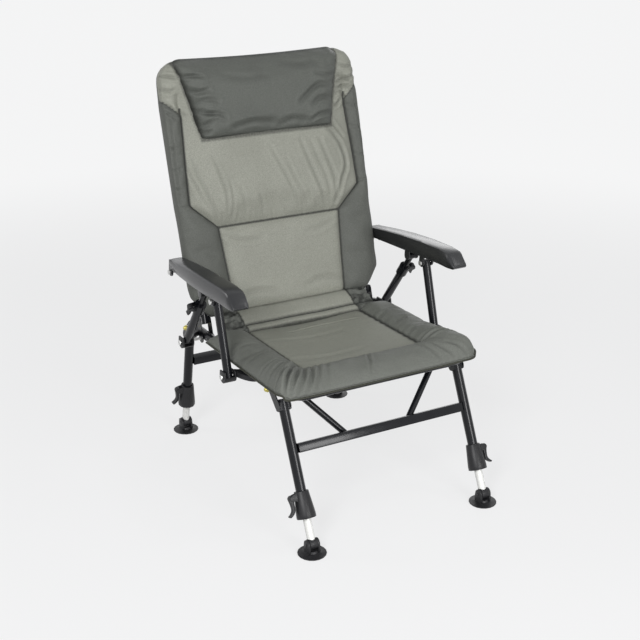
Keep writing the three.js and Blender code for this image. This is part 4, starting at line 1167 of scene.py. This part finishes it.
def stage():
    camera_data = bpy.data.cameras.new("camera")
    camera_data.lens = CAMERA_LENS
    camera_data.sensor_width = 36
    camera = bpy.data.objects.new("camera", camera_data)
    bpy.context.scene.collection.objects.link(camera)
    camera.location = CAMERA_PLACE
    camera.rotation_mode = "QUATERNION"
    camera.rotation_quaternion = Vector(CAMERA_LOOK).to_track_quat("-Z", "Y")
    bpy.context.scene.camera = camera

    world = bpy.data.worlds.new("studio")
    world.use_nodes = True
    bpy.context.scene.world = world
    sky = world.node_tree.nodes["Background"]
    sky.inputs[0].default_value = SKY
    sky_rays = world.node_tree.nodes.new("ShaderNodeLightPath")
    looking = sky_rays.outputs["Is Camera Ray"]
    for ray in ("Is Glossy Ray", "Is Transmission Ray"):
        either = world.node_tree.nodes.new("ShaderNodeMath")
        either.operation = "MAXIMUM"
        world.node_tree.links.new(looking, either.inputs[0])
        world.node_tree.links.new(sky_rays.outputs[ray], either.inputs[1])
        looking = either.outputs[0]
    pale = world.node_tree.nodes.new("ShaderNodeMapRange")
    pale.inputs["To Min"].default_value = SKY_LIGHT
    pale.inputs["To Max"].default_value = SKY_SEEN
    world.node_tree.links.new(looking, pale.inputs["Value"])
    world.node_tree.links.new(pale.outputs[0], sky.inputs["Strength"])

    backdrop = Finish("backdrop", 1.0)
    rays = backdrop.tree.nodes.new("ShaderNodeLightPath")
    seen = Signal(backdrop, rays.outputs["Is Camera Ray"])
    for ray in ("Is Glossy Ray", "Is Transmission Ray"):
        seen = seen.most(Signal(backdrop, rays.outputs[ray]))
    glow = backdrop.node("ShaderNodeEmission", {}, {"Color": FLOOR_GLOW, "Strength": 1.0})
    lit = Signal(backdrop, backdrop.shader.outputs[0])
    x, y, z = backdrop.parts(backdrop.place())
    far = (x * x + y * y).rise(1.2, 12)
    share = seen * (0.76 + 0.21 * far)
    both = backdrop.node("ShaderNodeMixShader", {}, {0: share, 1: lit, 2: glow})
    backdrop.finish(backdrop.mix(seen, FLOOR_BOUNCE, FLOOR_SEEN))
    backdrop.feed(backdrop.tree.nodes["Material Output"].inputs[0], both)
    backdrop.shader.inputs["Specular IOR Level"].default_value = 0
    bm = bmesh.new()
    bmesh.ops.create_grid(bm, x_segments=1, y_segments=1, size=FLOOR_HALF)
    floor = bpy.data.objects.new("floor", mesh_from(bm, "floor"))
    bpy.context.scene.collection.objects.link(floor)
    floor.data.materials.append(backdrop.material)

    for name, place, target, size, power in LAMPS:
        data = bpy.data.lights.new(name, "AREA")
        data.size = size
        data.energy = power
        lamp = bpy.data.objects.new(name, data)
        lamp.location = place
        lamp.rotation_mode = "QUATERNION"
        lamp.rotation_quaternion = (Vector(target) - Vector(place)).to_track_quat("-Z", "Y")
        bpy.context.scene.collection.objects.link(lamp)


BEVELS = {"black_plastic": 0.0006, "arm_plastic": 0.0016, "zinc": 0.0004}
BAR_BEVEL = 0.0022


def main():
    bpy.context.scene.view_settings.view_transform = "Standard"
    stage()
    paint = painted_tube()
    plastic = moulded_plastic("black_plastic", BLACK_PLASTIC, 0.46, 0.3)
    collar = moulded_plastic("collar_plastic", COLLAR_PLASTIC, 0.42, 0.6, pitted=True)
    arm_skin = moulded_plastic("arm_plastic", ARM_PLASTIC, 0.34, 0.2, grain_scale=520, coat=0.35)
    yellow_zinc = zinc_bolt("yellow_zinc", YELLOW_ZINC)
    piping = woven_cloth("piping_cloth", PIPING_CLOTH)
    white = white_tube()
    zinc = zinc_bolt("zinc_plate", BRIGHT_ZINC)
    back_cloth = woven_cloth("back_cloth", BACK_KHAKI, BACK_DARK)
    # the seat's cloth is the back's cloth with painted shade and painted light
    seat_cloth_painted_light = woven_cloth("seat_cloth_painted_light", SEAT_KHAKI_SHADED, SEAT_DARK_LIT)
    dark = woven_cloth("headrest_cloth", HEADREST_CLOTH)

    finishes = {"black_tube": paint, "black_plastic": plastic, "arm_plastic": arm_skin,
                "white_tube": white, "zinc": zinc}
    for node in sorted(frame["nodes"]):
        slot = slot_of(node)
        if slot in finishes:
            bevel = BAR_BEVEL if node.endswith("_crossbar") else BEVELS.get(slot, 0.0)
            leg_collar = "_clamp_" in node and "lever" not in node
            refined(node, collar if leg_collar else finishes[slot], bevel=bevel)
    for end in ("front", "rear"):
        for side in ("left", "right"):
            cap_nut(f"{end}_pivot_bolt_{side}", yellow_zinc)
            ankle(end, side, plastic)

    back_cushion(back_cloth)
    headrest(dark)
    seat_cushion(seat_cloth_painted_light)
    seat_piping(piping)
    crease_roll(back_cloth)


main()
